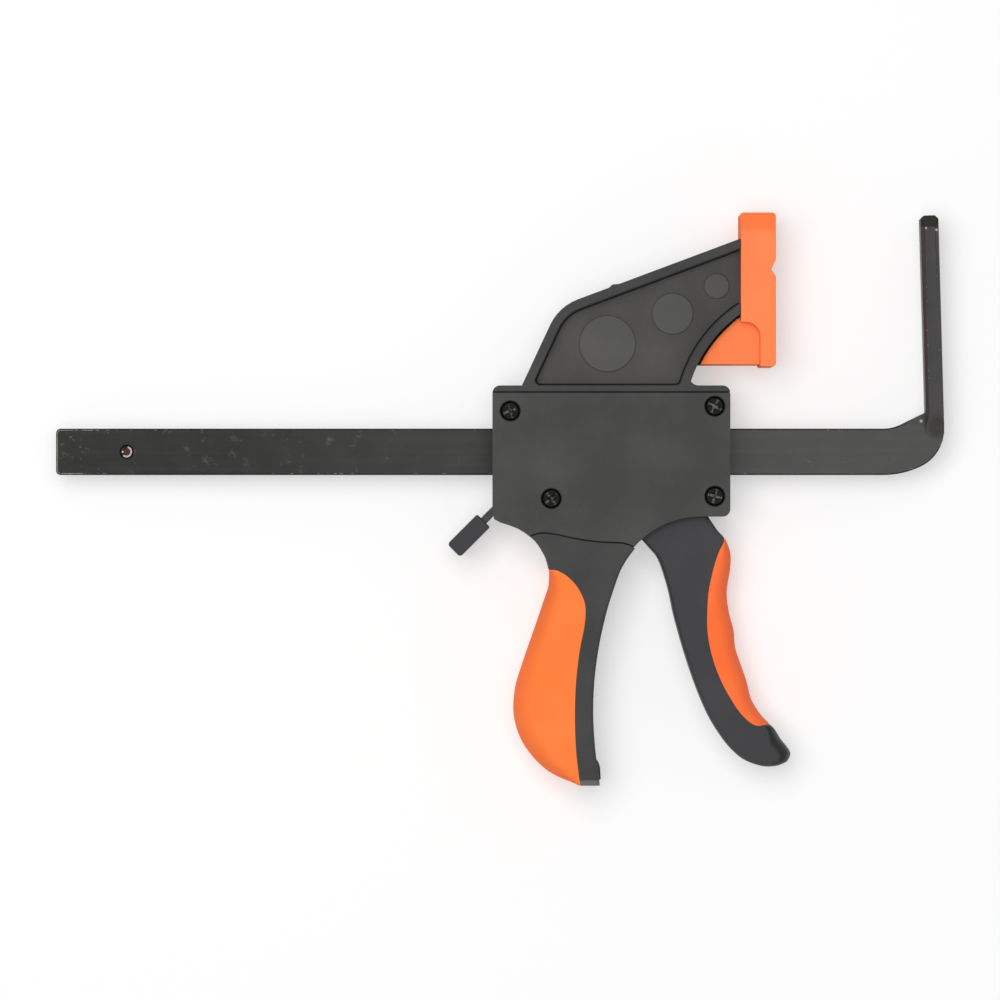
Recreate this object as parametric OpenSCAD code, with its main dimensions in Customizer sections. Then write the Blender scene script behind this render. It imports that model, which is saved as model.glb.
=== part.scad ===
// Track saw clamp: a one-handed bar clamp whose bent bar ends in a narrow arm that fits a guide rail's slot.
// It lies on its back: X runs along the bar, Y from the bar to the jaw, Z up through the cover.
// The origin is on the back face, on the bar's centre line, in the middle of the housing.

/* [Bar] */
// Width of the flat bar
bar_w = 16; // [12:0.5:20]
// Thickness of the flat bar
bar_t = 6; // [4:0.5:8]
// Length of bar behind the middle of the housing
bar_back = 191.2; // [150:1:300]
// Opening between the pad and the arm
jaw_gap = 52.2; // [20:1:150]
// Angle of the bar's edgewise bend before the arm
bend_angle = 26; // [12:1:34]
// Radius of that bend on its inner edge
bend_r = 14; // [8:1:40]
// Outer radius where the bar turns up into the arm
corner_r = 13.9; // [10:0.5:20]
// Height of the arm's tip above the bar's centre line
arm_h = 81.5; // [60:1:120]
// Thickness of the arm along the bar
arm_t = 6.2; // [4:0.2:8]
// Width of the arm through the rail's slot
arm_w = 11.6; // [8:0.2:16]
// Lean of the arm towards the pad
arm_lean = 1.6; // [0:0.1:4]
// Bevel along the arm's edges and round its tip
arm_bevel = 1.2; // [0.4:0.1:2]
// Length of the facet at the arm's tip
arm_tip = 4; // [2:0.2:6]
// Length of the flat bar's end inside the arm
arm_root = 8; // [6:0.5:12]
// Length of the slope from the bar's faces out to the arm's
arm_slope = 6; // [4:0.5:8]
// Height of that slope's middle above the arm's foot
arm_rise = 1.2; // [0:0.2:2]
// Rounding of the bar's plain end
bar_end_r = 1.5; // [0.5:0.5:4]

/* [Stop pin] */
// Diameter of the rolled pin that stops the bar
stop_d = 4; // [3:0.5:5]
// Wall of the rolled pin
stop_wall = 0.8; // [0.5:0.1:1.2]
// Slit along the rolled pin
stop_slit = 0.9; // [0.5:0.1:1.5]
// How far the pin stands out of each face of the bar
stop_proud = 1.5; // [1:0.1:3]
// Distance of the pin from the bar's plain end
stop_inset = 24.4; // [10:1:40]
// Bevel round the pin's hole in the bar
stop_break = 0.4; // [0.2:0.1:0.8]

/* [Housing] */
// Width of the housing along the bar
body_w = 81.6; // [76:1:100]
// Height of the housing above the bar
body_above = 14.7; // [14:0.1:20]
// Depth of the housing below the bar
body_below = 14.3; // [14:0.1:20]
// Thickness of the housing with its cover
body_t = 28; // [26:0.5:34]
// Thickness of the end walls
wall = 4; // [3:0.5:6]
// Thickness of the back wall and of the cover
side_wall = 3.5; // [3:0.25:5]
// Width of the strip of top wall that shows above the cover
strip_w = 2; // [1.5:0.1:3]
// Ledge under the cover's top edge
ledge = 1; // [0.6:0.1:2]
// Gap round the cover's edges
seam = 0.45; // [0.1:0.05:0.5]
// Radius of the housing's corners
body_r = 2.6; // [1:0.1:5]
// Radius of the arch over the trigger
arch_r = 31; // [26:1:40]
// Distance of the arch's top from the housing's front end
arch_inset = 9.8; // [8:0.2:12]
// Thickness of the housing in front of the trigger's throat
throat_wall = 6.5; // [5:0.5:8]
// Clearance of the bar in its slots
bar_clear = 0.2; // [0.1:0.05:0.5]

/* [Jaw] */
// Distance of the pad's back from the middle of the housing
jaw_reach = 44.3; // [40:0.5:60]
// Height of the jaw's top edge where it meets the pad
jaw_top = 73.1; // [66:0.1:90]
// Slope of the jaw's top edge
jaw_slope = 20.5; // [12:0.5:28]
// Slope of the jaw's rear edge
jaw_rear_slope = 65; // [56:1:75]
// Distance from the middle of the housing back to the foot of the jaw's rear edge
jaw_foot = 30.7; // [26:0.1:36]
// Radius of the corner between the jaw's rear and top edges
jaw_corner_r = 17; // [8:1:24]
// Radius of the arc under the jaw
jaw_arc_r = 45.7; // [40:0.1:52]
// Centre of that arc from the middle of the housing
jaw_arc_x = 70.7; // [64:0.5:78]
// Centre of that arc above the bar's centre line
jaw_arc_y = 9.9; // [4:0.5:14]
// Width of the rim round the jaw's recess
rim_w = 3.1; // [2:0.1:5]
// Depth of the recess in each face of the jaw
recess = 5; // [2:0.5:9]
// Height of the round marks above the recess
mark_h = 0.5; // [0.3:0.1:1.5]
// Rounding of the recess's lower corners
recess_r = 1.8; // [1:0.1:2.5]
// Width of the line round the recess's floor
line_w = 0.5; // [0.3:0.1:1]
// Depth of that line
line_d = 0.6; // [0.3:0.1:1.2]
// Step between that line and the recess's walls
line_in = 0.2; // [0.1:0.05:0.4]
// Fillet at the foot of the jaw
foot_r = 3; // [1:0.5:4]

/* [Pad] */
// Thickness of the pad
pad_t = 12.1; // [9:0.1:18]
// Height of the pad's top above the bar's centre line
pad_top = 82; // [76:0.5:100]
// Height of the pad's lower end above the bar's centre line
pad_low = 29.2; // [27:0.1:36]
// How far the pad's block reaches below the jaw's end
pad_lip = 2.8; // [1:0.1:6]
// Radius of the pad's outer corners
pad_r = 1.2; // [0.4:0.1:2.5]
// Radius between the pad's block and its plate
web_r = 5; // [2:0.5:6]
// Depth of the groove across the pad's face
groove = 1.6; // [0.8:0.1:3]
// Height of the groove
groove_h = 5.8; // [3:0.2:9]
// Height of the groove's bottom above the bar's centre line
groove_y = 62.5; // [55:0.5:70]
// Height of the groove's lower flank
groove_low = 2.3; // [1.2:0.1:4]
// Rounding of the groove's edges
groove_r = 0.4; // [0.2:0.1:0.8]
// Thickness of the gusset under the jaw
gusset_t = 18; // [12:1:24]
// Height of the gusset's top above the bar's centre line
gusset_top = 46.2; // [40:0.2:48]
// Step from the plate's lower end up to the gusset's
gusset_step = 0.7; // [0.2:0.1:2]
// Gap between the gusset and the arc under the jaw
gusset_gap = 0.8; // [0.2:0.1:1.2]
// Thickness of the pad's plate beside the gusset
plate_t = 5.4; // [4:0.2:8]
// Length of the jaw's tongue in the pad
tongue = 6; // [4:0.5:8]
// Thickness of the jaw's tongue
tongue_t = 18; // [12:1:22]
// Clearance between the pad and the jaw
pad_fit = 0.1; // [0.05:0.05:0.3]

/* [Handle] */
// Length of the handle below the housing
handle_len = 92.4; // [80:1:110]
// Depth of the handle's faces below the housing's
handle_inset = 0.5; // [0:0.25:2]
// Rounding of the handle's hard front edge
handle_r = 1.5; // [0.5:0.1:3]
// Rounding of the soft palm side
palm_r = 9; // [5:0.5:10]
// Thickness of the nub at the handle's toe
toe_t = 20; // [10:1:23]
// Depth of the hard tongue under the soft grip
grip_skin = 5; // [3:0.5:8]
// Thickness of the hard tongue under the soft grip
grip_core_t = 14; // [8:1:18]

/* [Trigger] */
// Length of the trigger below the housing
trigger_len = 86; // [74:1:100]
// Thickness of the trigger
trigger_t = 19; // [17:0.5:20]
// Rounding of the trigger's edges
trigger_r = 2; // [0.5:0.1:3]
// Rounding of its soft finger side
finger_r = 6; // [3:0.5:7]
// Width of the rounding at the trigger's tip
tip_r = 4.5; // [2:0.5:6]
// Depth of the rounding at the trigger's tip
tip_d = 7; // [2:0.5:8]
// Diameter of the trigger's pin
pivot_d = 5; // [4:0.5:6]
// Distance of the pin from the housing's front end
pivot_inset = 16.1; // [15:0.1:20]
// Height of the pin above the bar
pivot_above = 5.9; // [5.5:0.1:7]
// Wall of the trigger's eye round its pin
eye_wall = 2.6; // [2:0.1:3]
// Running clearance round each pin
pin_clear = 0.05; // [0.02:0.01:0.1]
// Clearance of the trigger's cheeks from the bar
cheek_clear = 0.6; // [0.3:0.1:1]
// Radius of the nose that pushes the drive plates
nose_r = 3; // [2:0.2:4]
// Gap between the nose and the drive plates
nose_gap = 0.3; // [0.2:0.05:0.5]
// Depth of the nose below the bar
nose_drop = 4.6; // [4:0.2:6]
// Distance of the nose behind the trigger's pin
nose_back = 4.7; // [3:0.1:6]
// Reach of the cheeks in front of the pin, level with the nose
cheek_front = 5.6; // [4:0.2:7]

/* [Drive] */
// Thickness of each drive plate
drive_t = 2.5; // [2:0.1:3]
// Gap between the drive plates
drive_gap = 0.05; // [0.02:0.01:0.2]
// Width of the drive plates
drive_w = 17; // [14:0.5:20]
// Length of the drive plates above the bar
drive_up = 3.4; // [2.5:0.1:5]
// Gap between the drive plates and the housing's floor
drive_end_gap = 0.9; // [0.5:0.1:2]
// Outer diameter of the drive spring
spring_d = 7; // [5:0.5:8]
// Wire of the drive spring
spring_wire = 1; // [0.8:0.1:1.4]
// Turns of the drive spring
spring_turns = 8; // [5:1:10]
// Length of the drive spring
spring_len = 20; // [16:0.5:24]
// Thickness of the rib that carries the drive spring
rib_t = 4; // [3:0.5:6]
// Length of the stub inside the drive spring
stub_len = 4; // [2:0.5:6]
// Clearance of the stub in the drive spring
stub_clear = 0.4; // [0.2:0.1:1]

/* [Release lever] */
// Thickness of the steel lever
lever_t = 2.7; // [2:0.1:3.2]
// Width of the lever round the bar
lever_w = 17; // [14:0.5:20]
// Width of the lever's outer leg
leg_w = 12; // [8:0.5:14]
// Lean of the lever that jams it on the bar
lever_lean = 4; // [2:0.5:6]
// Clearance of the bar in the jammed lever
lever_clear = 0.12; // [0.05:0.01:0.3]
// Length of the lever above the bar
lever_up = 2; // [1.5:0.1:2.4]
// Diameter of the lever's pin
brake_d = 4; // [3:0.5:5]
// Wall of the lever's knuckle round its pin
knuckle_wall = 1.5; // [1:0.1:1.8]
// Width of the knuckle
knuckle_w = 11; // [8:0.5:13]
// Distance of the lever's pin from the housing's rear end
brake_inset = 8.1; // [7.8:0.1:10]
// Depth of the lever's pin below the bar
brake_drop = 4.6; // [4.2:0.1:6]
// Slope of the lever's outer leg
leg_slope = 45; // [40:1:50]
// Distance along the leg from the pin to the tab
tab_start = 15.8; // [14:0.2:20]
// Length of the tab
tab_len = 14.5; // [10:0.5:20]
// Thickness of the tab
tab_t = 6.3; // [5:0.1:8]
// Width of the tab
tab_w = 16; // [13:0.5:20]
// Rounding of the tab's ends
tab_r = 1.2; // [0.4:0.1:2]
// Outer diameter of each lever spring
lever_spring_d = 4.6; // [3.6:0.2:5]
// Wire of each lever spring
lever_spring_wire = 0.6; // [0.4:0.05:0.7]
// Turns of each lever spring
lever_spring_turns = 4; // [3:1:5]
// Depth of the pockets that hold the lever springs
pocket = 2; // [1.5:0.1:2.5]
// Wall between the bar's slot and each pocket
pocket_wall = 0.4; // [0.3:0.1:1]

/* [Screws] */
// Diameter of the screw heads
head_d = 6.6; // [5:0.1:7]
// Thickness of the screw heads
head_t = 1.7; // [1.2:0.1:2]
// Diameter of the screws
screw_d = 3.2; // [2.5:0.1:4]
// Length of the screws under their heads
screw_len = 16; // [10:0.5:20]
// Diameter of the counterbores
bore_d = 7.2; // [6.6:0.1:8]
// Depth of the counterbores
bore_depth = 2.1; // [1.6:0.1:2.2]
// Wall of the bosses round the screws
boss_wall = 2; // [1.5:0.1:2.4]
// Width of the cross slots in the heads
cross_w = 1; // [0.6:0.1:1.4]
// Length of the cross slots
cross_len = 4; // [2.5:0.1:5]
// Depth of the cross slots
cross_depth = 0.9; // [0.5:0.1:1.1]
// Distance of the upper rear screw from the housing's rear end
rear_screw_x = 6.1; // [5.8:0.1:8]
// Distance of the upper rear screw below the cover's top edge
rear_screw_y = 6.3; // [5:0.1:7]
// Distance of the lower rear screw from the housing's rear end
low_screw_x = 20.2; // [18:0.2:22]
// Distance of the lower rear screw above the housing's lower edge
low_screw_y = 6.2; // [5.8:0.1:7]
// Distance of the front screws from the housing's front end
front_screw_x = 5.3; // [5:0.1:6]
// Distance of the upper front screw below the cover's top edge
front_screw_up = 4.7; // [4.6:0.1:6]
// Distance of the lower front screw above the housing's lower edge
front_screw_low = 7; // [6:0.1:7.4]

/* [Hidden] */

$fn = 48;
// Smallest step that makes a cut pass a face
past = 1;
// Overlap of two solids that are fused into one piece
weld = 0.5;
// Points along each stretch of a drawn curve, and along each rounded corner
curve_steps = 3;
corner_steps = 6;
// Angles of the rings that round an edge, and the largest share of a limb's width that a rounding takes
ring_angles = [90, 55, 25, 0];
round_share = 0.45;
// Rings in each turn of a coil, and the sides of its wire
turn_steps = 8;
wire_sides = 6;

plastic_dark = "#464646";
plastic_orange = "#f97f46";
steel_dark = "#3a3a3c";
steel_bright = "#8d9096";

// Levels through the thickness
mid_z = body_t / 2;
cover_z = body_t - side_wall;
handle_t = body_t - 2 * handle_inset;
// Depth of the seats of the pins' ends in the back wall and in the cover
pin_seat = side_wall / 2;

// Slot for the bar
slot_h = bar_w + 2 * bar_clear;
slot_t = bar_t + 2 * bar_clear;

// Ends and edges of the housing
rear_x = -body_w / 2;
front_x = body_w / 2;
body_up = bar_w / 2 + body_above;
body_down = bar_w / 2 + body_below;
small_r = body_r / 4;
cover_top = body_up - strip_w - seam;
cavity_top = body_up - strip_w - ledge;
cavity_low = wall - body_down;

// Jaw faces
pad_face = jaw_reach + pad_t;
jaw_arc = [jaw_arc_x, jaw_arc_y];
// Height of the arc under the jaw where it meets the pad
jaw_end_y = jaw_arc.y + sqrt(pow(jaw_arc_r, 2) - pow(jaw_arc.x - jaw_reach, 2));

// Trigger, drive plates and their spring
pivot = [front_x - pivot_inset, bar_w / 2 + pivot_above];
eye_r = pivot_d / 2 + eye_wall;
nose = [pivot.x - nose_back, -bar_w / 2 - nose_drop];
drive_x = nose.x - nose_r - nose_gap;
drive_pitch = drive_t + drive_gap;
spring_x = drive_x - 2 * drive_pitch - spring_len;
trigger_back = mid_z - trigger_t / 2;
cheek_t = (trigger_t - bar_t) / 2 - cheek_clear;

// Release lever
brake = [rear_x + brake_inset, -bar_w / 2 - brake_drop];
knuckle_r = brake_d / 2 + knuckle_wall;
pin_boss_d = brake_d + 2 * boss_wall;
leg_start = pin_boss_d / 2 + weld;
plate_start = brake_d / 2 + weld;
stem_w = knuckle_w - 2 * weld;
lever_hole = (bar_w + lever_t * sin(lever_lean)) / cos(lever_lean) + 2 * lever_clear;
bar_in_lever = -brake.y / cos(lever_lean);
lever_top = bar_in_lever + lever_hole / 2 + lever_up;
pocket_d = lever_spring_d + 2 * bar_clear;
lever_spring_z = (slot_t + pocket_d) / 2 + pocket_wall;
leg_dir = 180 + leg_slope;

// Screws: the centres of the four heads
screw_at = [
    [rear_x + rear_screw_x, cover_top - rear_screw_y],
    [front_x - front_screw_x, cover_top - front_screw_up],
    [rear_x + low_screw_x, low_screw_y - body_down],
    [front_x - front_screw_x, front_screw_low - body_down]
];
boss_r = screw_d / 2 + boss_wall;

// Bar: the bend's outer edge runs straight into the turn under the arm
arm_x = pad_face + jaw_gap + arm_t;
bend_outer_r = bend_r + bar_w;
bend_x = arm_x - corner_r - (bend_outer_r - corner_r) * sin(bend_angle);
bend_c = [bend_x, bar_w / 2 + bend_r];
corner_c = around(bend_c, bend_outer_r - corner_r, bend_angle - 90);
stop_x = stop_inset - bar_back;

// Lengths at which the stations of the handle and the trigger are drawn
drawn_handle = 92.4;
drawn_trigger = 86;

// Stations of the handle, paired from rear edge to front edge, as mm from the housing's lower edge
handle_stretch = handle_len / drawn_handle;
neck_points = [
    [rear_x + 1.5, -3.5], [rear_x + 0.6, 0.9], [rear_x + 8.6, 4.1], [-26.4, 8.3], [-23, 13.4], [-21.8, 16.7]
];
split_points = [
    [-21.3, 18.2], [-18.6, 18.5], [-15, 20.6], [-11.4, 24.6], [-9, 30.3], [-9.2, 37.2], [-10.9, 46.2],
    [-12.1, 56.7], [-12.5, 67.7], [-12.2, 78.7], [-11.3, 87.7], [-10.6, 92.3]
];
front_points = [
    [10.4, 1.7], [10, 7.9], [8.3, 10.6], [6.8, 12.7], [5.4, 14.6], [4.1, 16.8],
    [3.2, 18.5], [2.3, 20.7], [1.3, 23.5], [0.2, 26.9], [-0.9, 30.3], [-2.7, 37.2], [-4.5, 46.2],
    [-5.8, 56.7], [-6.2, 67.7], [-5.6, 78.7], [-4.5, 87.7], [-3.9, 92.3]
];
palm_points = [
    [-21.3, 19.2], [-21.3, 21.4], [-21.6, 24.4], [-23.3, 29.4], [-25.4, 35.7], [-28.2, 43.7], [-31, 51.9],
    [-33.2, 60], [-33.3, 69.8], [-29.5, 79.4], [-21.7, 87.7], [-12.2, 92]
];

// Nub at the front of the handle's toe, in the same measure
toe_points = [
    [-7.5, 83.4], [-5.4, 83.4], [-4.2, 84.8], [-3.8, 86.2], [-3.6, 90], [-4.4, 90.8], [-7.5, 90.8]
];

// Stations of the trigger, paired from handle side to finger side, as mm from its pin and the lower edge
trigger_stretch = trigger_len / drawn_trigger;
inner_points = [
    [-3.2, -2.8], [-16.2, 5.2], [-14.9, 6.9], [-11.6, 10.6], [-8.2, 15.1], [-5.1, 24.5], [-3.2, 33.3],
    [-1.6, 39.4], [0.1, 45.3], [2, 51.3], [4, 57.1], [6.3, 63], [9, 68.9], [12.5, 74.7], [16.5, 79.9],
    [21.4, 83.8], [27.8, 85.9], [33.2, 85.7]
];
border_points = [
    [6.8, -2.8], [11.7, 4.5], [14.2, 7.8], [12.3, 12.2], [10.5, 17.7], [8.8, 25.7], [8.3, 33.3], [8.4, 39.2],
    [9.3, 45.2], [11, 51.3], [13.4, 57.1], [16.5, 62.8], [20.3, 68.2], [24.8, 71.7]
];
tip_points = [[30.2, 71.8], [33.8, 76.6], [37.1, 81.2], [36.2, 84.3]];
finger_points = [
    [14.9, 7.9], [16.5, 12.4], [16.5, 17.7], [15.3, 26], [16.1, 33.3], [17.6, 38.9], [18.2, 45.2],
    [20.1, 51], [22.1, 56.8], [23.7, 62.9], [26.7, 67.9], [29.8, 71.2]
];

// Sides of the cheeks where they meet the trigger's limb, in the same measure
cheek_points = [[-2.6, 0], [6.2, 0]];

// Back of the throat that the trigger swings in, as mm from the housing's lower edge
throat_points = [[14, 22], [2.4, 20.7], [2.6, 13.7], [0.4, 7.7], [-2.8, 1.7], [-4.6, -4.5]];

// Opening for the release lever's leg, as mm from its pin
leg_points = [[-13.1, -0.6], [-1, -0.6], [3.7, -3.4], [-0.3, -8.9], [-13.3, -19.9]];

// Round marks in the jaw's recess, smaller towards the pad: centre and radius
jaw_marks = [
    [-1.3, body_up + 14.4, 9.7],
    [21.1, body_up + 24.7, 7.1],
    [jaw_reach - 8.1, jaw_top - 16.2, 4.35]
];

// Seam between the cover and the handle, as mm from the housing's lower edge
seam_points = [[-28.2, 6.6], [-24, 5.4], [-19, 5.9], [-12, 7.4], [-4, 8.5], [4, 8.9], [7.9, 10.3]];

neck_line = curve([for (p = neck_points) from_handle(p)]);
tight_end = curve_steps;
core_line = curve([for (p = concat(neck_points, split_points)) from_handle(p)]);
front_line = curve([for (p = front_points) from_handle(p)]);
palm_line = curve([for (p = palm_points) from_handle(p)]);
inner_line = curve([for (p = inner_points) from_trigger(p)]);
outer_line = curve([for (p = concat(border_points, tip_points)) from_trigger(p)]);
finger_line = curve([for (p = finger_points) from_trigger(p)]);
// The grips take their hard side from the core's own line, so the two meet face to face
neck_end = len(neck_points) * curve_steps;
// Points of the grip beyond each end of the hard tongue in it
tongue_in = 2 * curve_steps;
border_start = 2 * curve_steps;
border_end = (len(border_points) - 1) * curve_steps;
grip_line = [for (i = [neck_end : len(core_line) - 1]) core_line[i]];
border_line = [for (i = [border_start : border_end]) outer_line[i]];

function from_handle(p) = [p.x, -body_down - p.y * handle_stretch];
function from_trigger(p) = [pivot.x + p.x, -body_down - p.y * trigger_stretch];

function unit(v) = v / norm(v);
function around(c, r, a) = c + r * [cos(a), sin(a)];
function arc(c, r, from, to) = [for (i = [0 : 2 * corner_steps])
    around(c, r, from + (to - from) * i / (2 * corner_steps))];
function all_along(line, r) = [for (p = line) r];
function reversed(list) = [for (i = [len(list) - 1 : -1 : 0]) list[i]];

// A smooth curve through hand-placed points
function between(a, b, c, d, t) = (2 * b + (c - a) * t + (2 * a - 5 * b + 4 * c - d) * t * t
    + (3 * b - a - 3 * c + d) * t * t * t) / 2;
function curve(p, n = curve_steps) = [
    for (i = [0 : len(p) - 2]) for (k = [0 : n - 1])
        between(p[max(i - 1, 0)], p[i], p[i + 1], p[min(i + 2, len(p) - 1)], k / n),
    p[len(p) - 1]
];

// The points of one corner b, rounded to radius r
function corner(a, b, c, r) =
    let (u = unit(a - b), v = unit(c - b), half = acos(u * v) / 2)
    let (centre = b + unit(u + v) * r / sin(half), start = b + u * r / tan(half) - centre)
    let (turn = (180 - 2 * half) * sign(cross(v, u)), first = atan2(start.y, start.x))
    [for (i = [0 : corner_steps]) around(centre, r, first + turn * i / corner_steps)];
// An outline whose corners [x, y, radius] are rounded
function rounded(p) = [
    for (i = [0 : len(p) - 1])
        let (a = p[(i + len(p) - 1) % len(p)], b = p[i], c = p[(i + 1) % len(p)])
        each (b[2] == 0 ? [[b.x, b.y]] : corner([a.x, a.y], [b.x, b.y], [c.x, c.y], b[2]))
];

// A limb between two edges with the same number of stations, each edge rounded by its own lists of insets
// and depths
module limb(left, right, left_r, right_r, left_d, right_d, thickness) {
    count = len(left);
    loop = concat(left, reversed(right));
    total = 2 * count;
    radius = concat(
        [for (i = [0 : count - 1]) min(left_r[i], round_share * norm(right[i] - left[i]))],
        [for (i = [count - 1 : -1 : 0]) min(right_r[i], round_share * norm(right[i] - left[i]))]
    );
    depth = concat(left_d, reversed(right_d));
    inward = [
        for (i = [0 : total - 1])
            let (t = unit(loop[(i + 1) % total] - loop[(i + total - 1) % total])) [-t.y, t.x]
    ];
    rings = concat([for (a = ring_angles) [a, -1]], [for (a = reversed(ring_angles)) [a, 1]]);
    points = [
        for (ring = rings) for (i = [0 : total - 1])
            let (p = loop[i] + inward[i] * radius[i] * (1 - cos(ring[0])))
            [p.x, p.y, mid_z + ring[1] * (thickness / 2 - depth[i] * (1 - sin(ring[0])))]
    ];
    top = (len(rings) - 1) * total;
    sides = [
        for (k = [0 : len(rings) - 2]) for (i = [0 : total - 1])
            let (a = k * total + i, b = k * total + (i + 1) % total)
            each [[a, a + total, b + total], [a, b + total, b]]
    ];
    caps = [
        for (i = [0 : count - 2])
            let (l = i, m = i + 1, r = total - 1 - i, s = total - 2 - i)
            each [[l, m, s], [l, s, r], [top + l, top + r, top + s], [top + l, top + s, top + m]]
    ];
    polyhedron(points = points, faces = concat(sides, caps), convexity = 6);
}

// A coil of round wire along +X from its first end, as one unbroken tube
module coil(outer_d, wire, turns, length) {
    steps = turns * turn_steps;
    sides = wire_sides;
    r = (outer_d - wire) / 2;
    run = length - wire;
    points = [
        for (i = [0 : steps]) for (k = [0 : sides - 1])
            let (a = 360 * i / turn_steps, b = 360 * k / sides, w = wire / 2, reach = r + w * cos(b))
            [wire / 2 + run * i / steps + w * sin(b), reach * cos(a), reach * sin(a)]
    ];
    skin = [
        for (i = [0 : steps - 1]) for (k = [0 : sides - 1])
            let (a = i * sides + k, b = i * sides + (k + 1) % sides)
            each [[a, b, b + sides], [a, b + sides, a + sides]]
    ];
    last = steps * sides;
    ends = [for (k = [1 : sides - 2]) each [[0, k + 1, k], [last, last + k, last + k + 1]]];
    polyhedron(points = points, faces = concat(skin, ends), convexity = 10);
}

// Slab of an outline between two levels
module slab(from, to) {
    translate([0, 0, from]) linear_extrude(to - from) children();
}

module peg(at, d, from, to) {
    translate([at.x, at.y, from]) cylinder(d = d, h = to - from);
}

// Long hole for the bar through every wall that it passes
module bar_passage() {
    translate([-body_w, -slot_h / 2, mid_z - slot_t / 2]) cube([2 * body_w, slot_h, slot_t]);
}

// The arch over the trigger, from the handle's corner to the housing's lower edge
arch_c = [front_x - arch_inset, -body_down - arch_r];
arch_start = 180 - acos((arch_c.x - seam_points[6].x) / arch_r);
function arch_line(outside = 0) = arc(arch_c, arch_r - outside, arch_start, 90);

module housing_outline() {
    polygon(concat(
        rounded([
            [front_x, -body_down, body_r], [front_x, body_up, body_r],
            [rear_x, body_up, body_r], [rear_x, -body_down, small_r]
        ]),
        [[seam_points[0].x, -body_down], from_handle(seam_points[5])],
        [for (i = [1 : 2 * corner_steps]) arch_line()[i]]
    ));
}

// The cover's outline, and with a gap along its inner edges and more outside it, the housing's seat for it
module cover_outline(gap, outside) {
    low = curve([for (p = seam_points) from_handle(p) - [0, gap]]);
    neck = [for (p = neck_line) if (p.y < -body_down && p.x < low[0].x) p];
    right = front_x + outside;
    left = rear_x - outside;
    top_r = outside > 0 ? 0 : small_r;
    polygon(concat(
        rounded([
            [right, -body_down - outside, body_r], [right, cover_top + gap, top_r],
            [left, cover_top + gap, top_r], [left, -body_down, small_r]
        ]),
        [for (p = neck) p - [outside, outside]],
        low,
        arch_line(outside)
    ));
}

// Where two edges of the jaw meet, each moved in by an inset
function jaw_apex(inset) =
    let (a = jaw_slope, b = jaw_rear_slope)
    let (p = [jaw_reach, jaw_top] + inset * [sin(a), -cos(a)])
    let (q = [-jaw_foot, body_up] + inset * [sin(b), -cos(b)])
    let (s = cross(q - p, [cos(b), sin(b)]) / cross([cos(a), sin(a)], [cos(b), sin(b)]))
    p + s * [cos(a), sin(a)];

// The jaw's outline moved in by an inset, from its foot on the housing to an end under the pad
function jaw_loop(inset, low, end, foot = 0) =
    let (apex = jaw_apex(inset), r = jaw_arc_r + inset)
    let (top = apex.y + (end - apex.x) * tan(jaw_slope))
    let (rear = apex.x - (apex.y - low) / tan(jaw_rear_slope))
    let (from = 180 - asin((low - jaw_arc.y) / r), to = acos((end - jaw_arc.x) / r))
    let (under = arc(jaw_arc, r, to, from), last = len(under) - 1)
    concat(
        corner([rear, low], apex, [end, top], jaw_corner_r - inset),
        [[end, top]],
        [for (i = [0 : last - 1]) under[i]],
        foot == 0 ? [under[last]] : corner(under[last - 1], under[last], [rear, low], foot),
        foot == 0 ? [[rear, low]] : corner(under[last], [rear, low], apex, foot)
    );

// The recess's outline, moved in by a step
function recess_loop(step, end) = jaw_loop(rim_w + step, body_up + step, end, recess_r - step);

// Fillet between the jaw's edge and the housing's top
module foot_fillet(x, side) {
    polygon(concat(
        [[x - side * weld, body_up - weld]],
        [for (i = [0 : corner_steps]) around(
            [x + side * foot_r, body_up + foot_r], foot_r, 270 - side * 90 * i / corner_steps)],
        [[x - side * weld, body_up + foot_r]]
    ));
}

module jaw() {
    foot_x = jaw_arc.x - sqrt(pow(jaw_arc_r, 2) - pow(body_up - jaw_arc.y, 2));
    difference() {
        slab(0, body_t) {
            polygon(jaw_loop(0, body_up - weld, jaw_reach));
            foot_fillet(foot_x, 1);
        }
        for (z = [-past, body_t - recess])
            slab(z, z + recess + past) polygon(recess_loop(0, jaw_reach + past));
        for (z = [recess - weld, body_t - recess - line_d]) slab(z, z + line_d + weld) difference() {
            polygon(recess_loop(line_in, jaw_reach + past));
            polygon(recess_loop(line_in + line_w, jaw_reach + 2 * past));
        }
    }
    for (z = [recess - mark_h, mid_z]) slab(z, z + mid_z - recess + mark_h) round_marks();
    slab(mid_z - tongue_t / 2, mid_z + tongue_t / 2) tongue_outline(0);
}

module round_marks() {
    for (m = jaw_marks) translate([m.x, m.y]) circle(r = m[2]);
}

// Tongue at the jaw's end, and with a margin the pad's pocket for it
module tongue_outline(margin) {
    low = jaw_end_y + rim_w;
    translate([jaw_reach - weld, low - margin])
        square([tongue + weld + margin, jaw_top - rim_w - low + 2 * margin]);
}

// Space inside the housing for the trigger, down to the front of the handle
module throat() {
    front = front_x - throat_wall;
    slab(side_wall, cover_z + weld) polygon(concat(
        [[front, cavity_low + weld], [front, -body_down - past], [front_x, -body_down - arch_r]],
        [for (p = throat_points) from_handle(p)]
    ));
}

// Opening in the lower rear corner for the release lever
module lever_opening() {
    slab(mid_z - leg_w / 2 - past, mid_z + leg_w / 2 + past) polygon([for (p = leg_points) brake + p]);
}

module lever_spring_pockets() {
    for (side = [-1, 1])
        translate([rear_x + wall - pocket, 0, mid_z + side * lever_spring_z])
            rotate([0, 90, 0]) cylinder(d = pocket_d, h = pocket + past);
}

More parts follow.
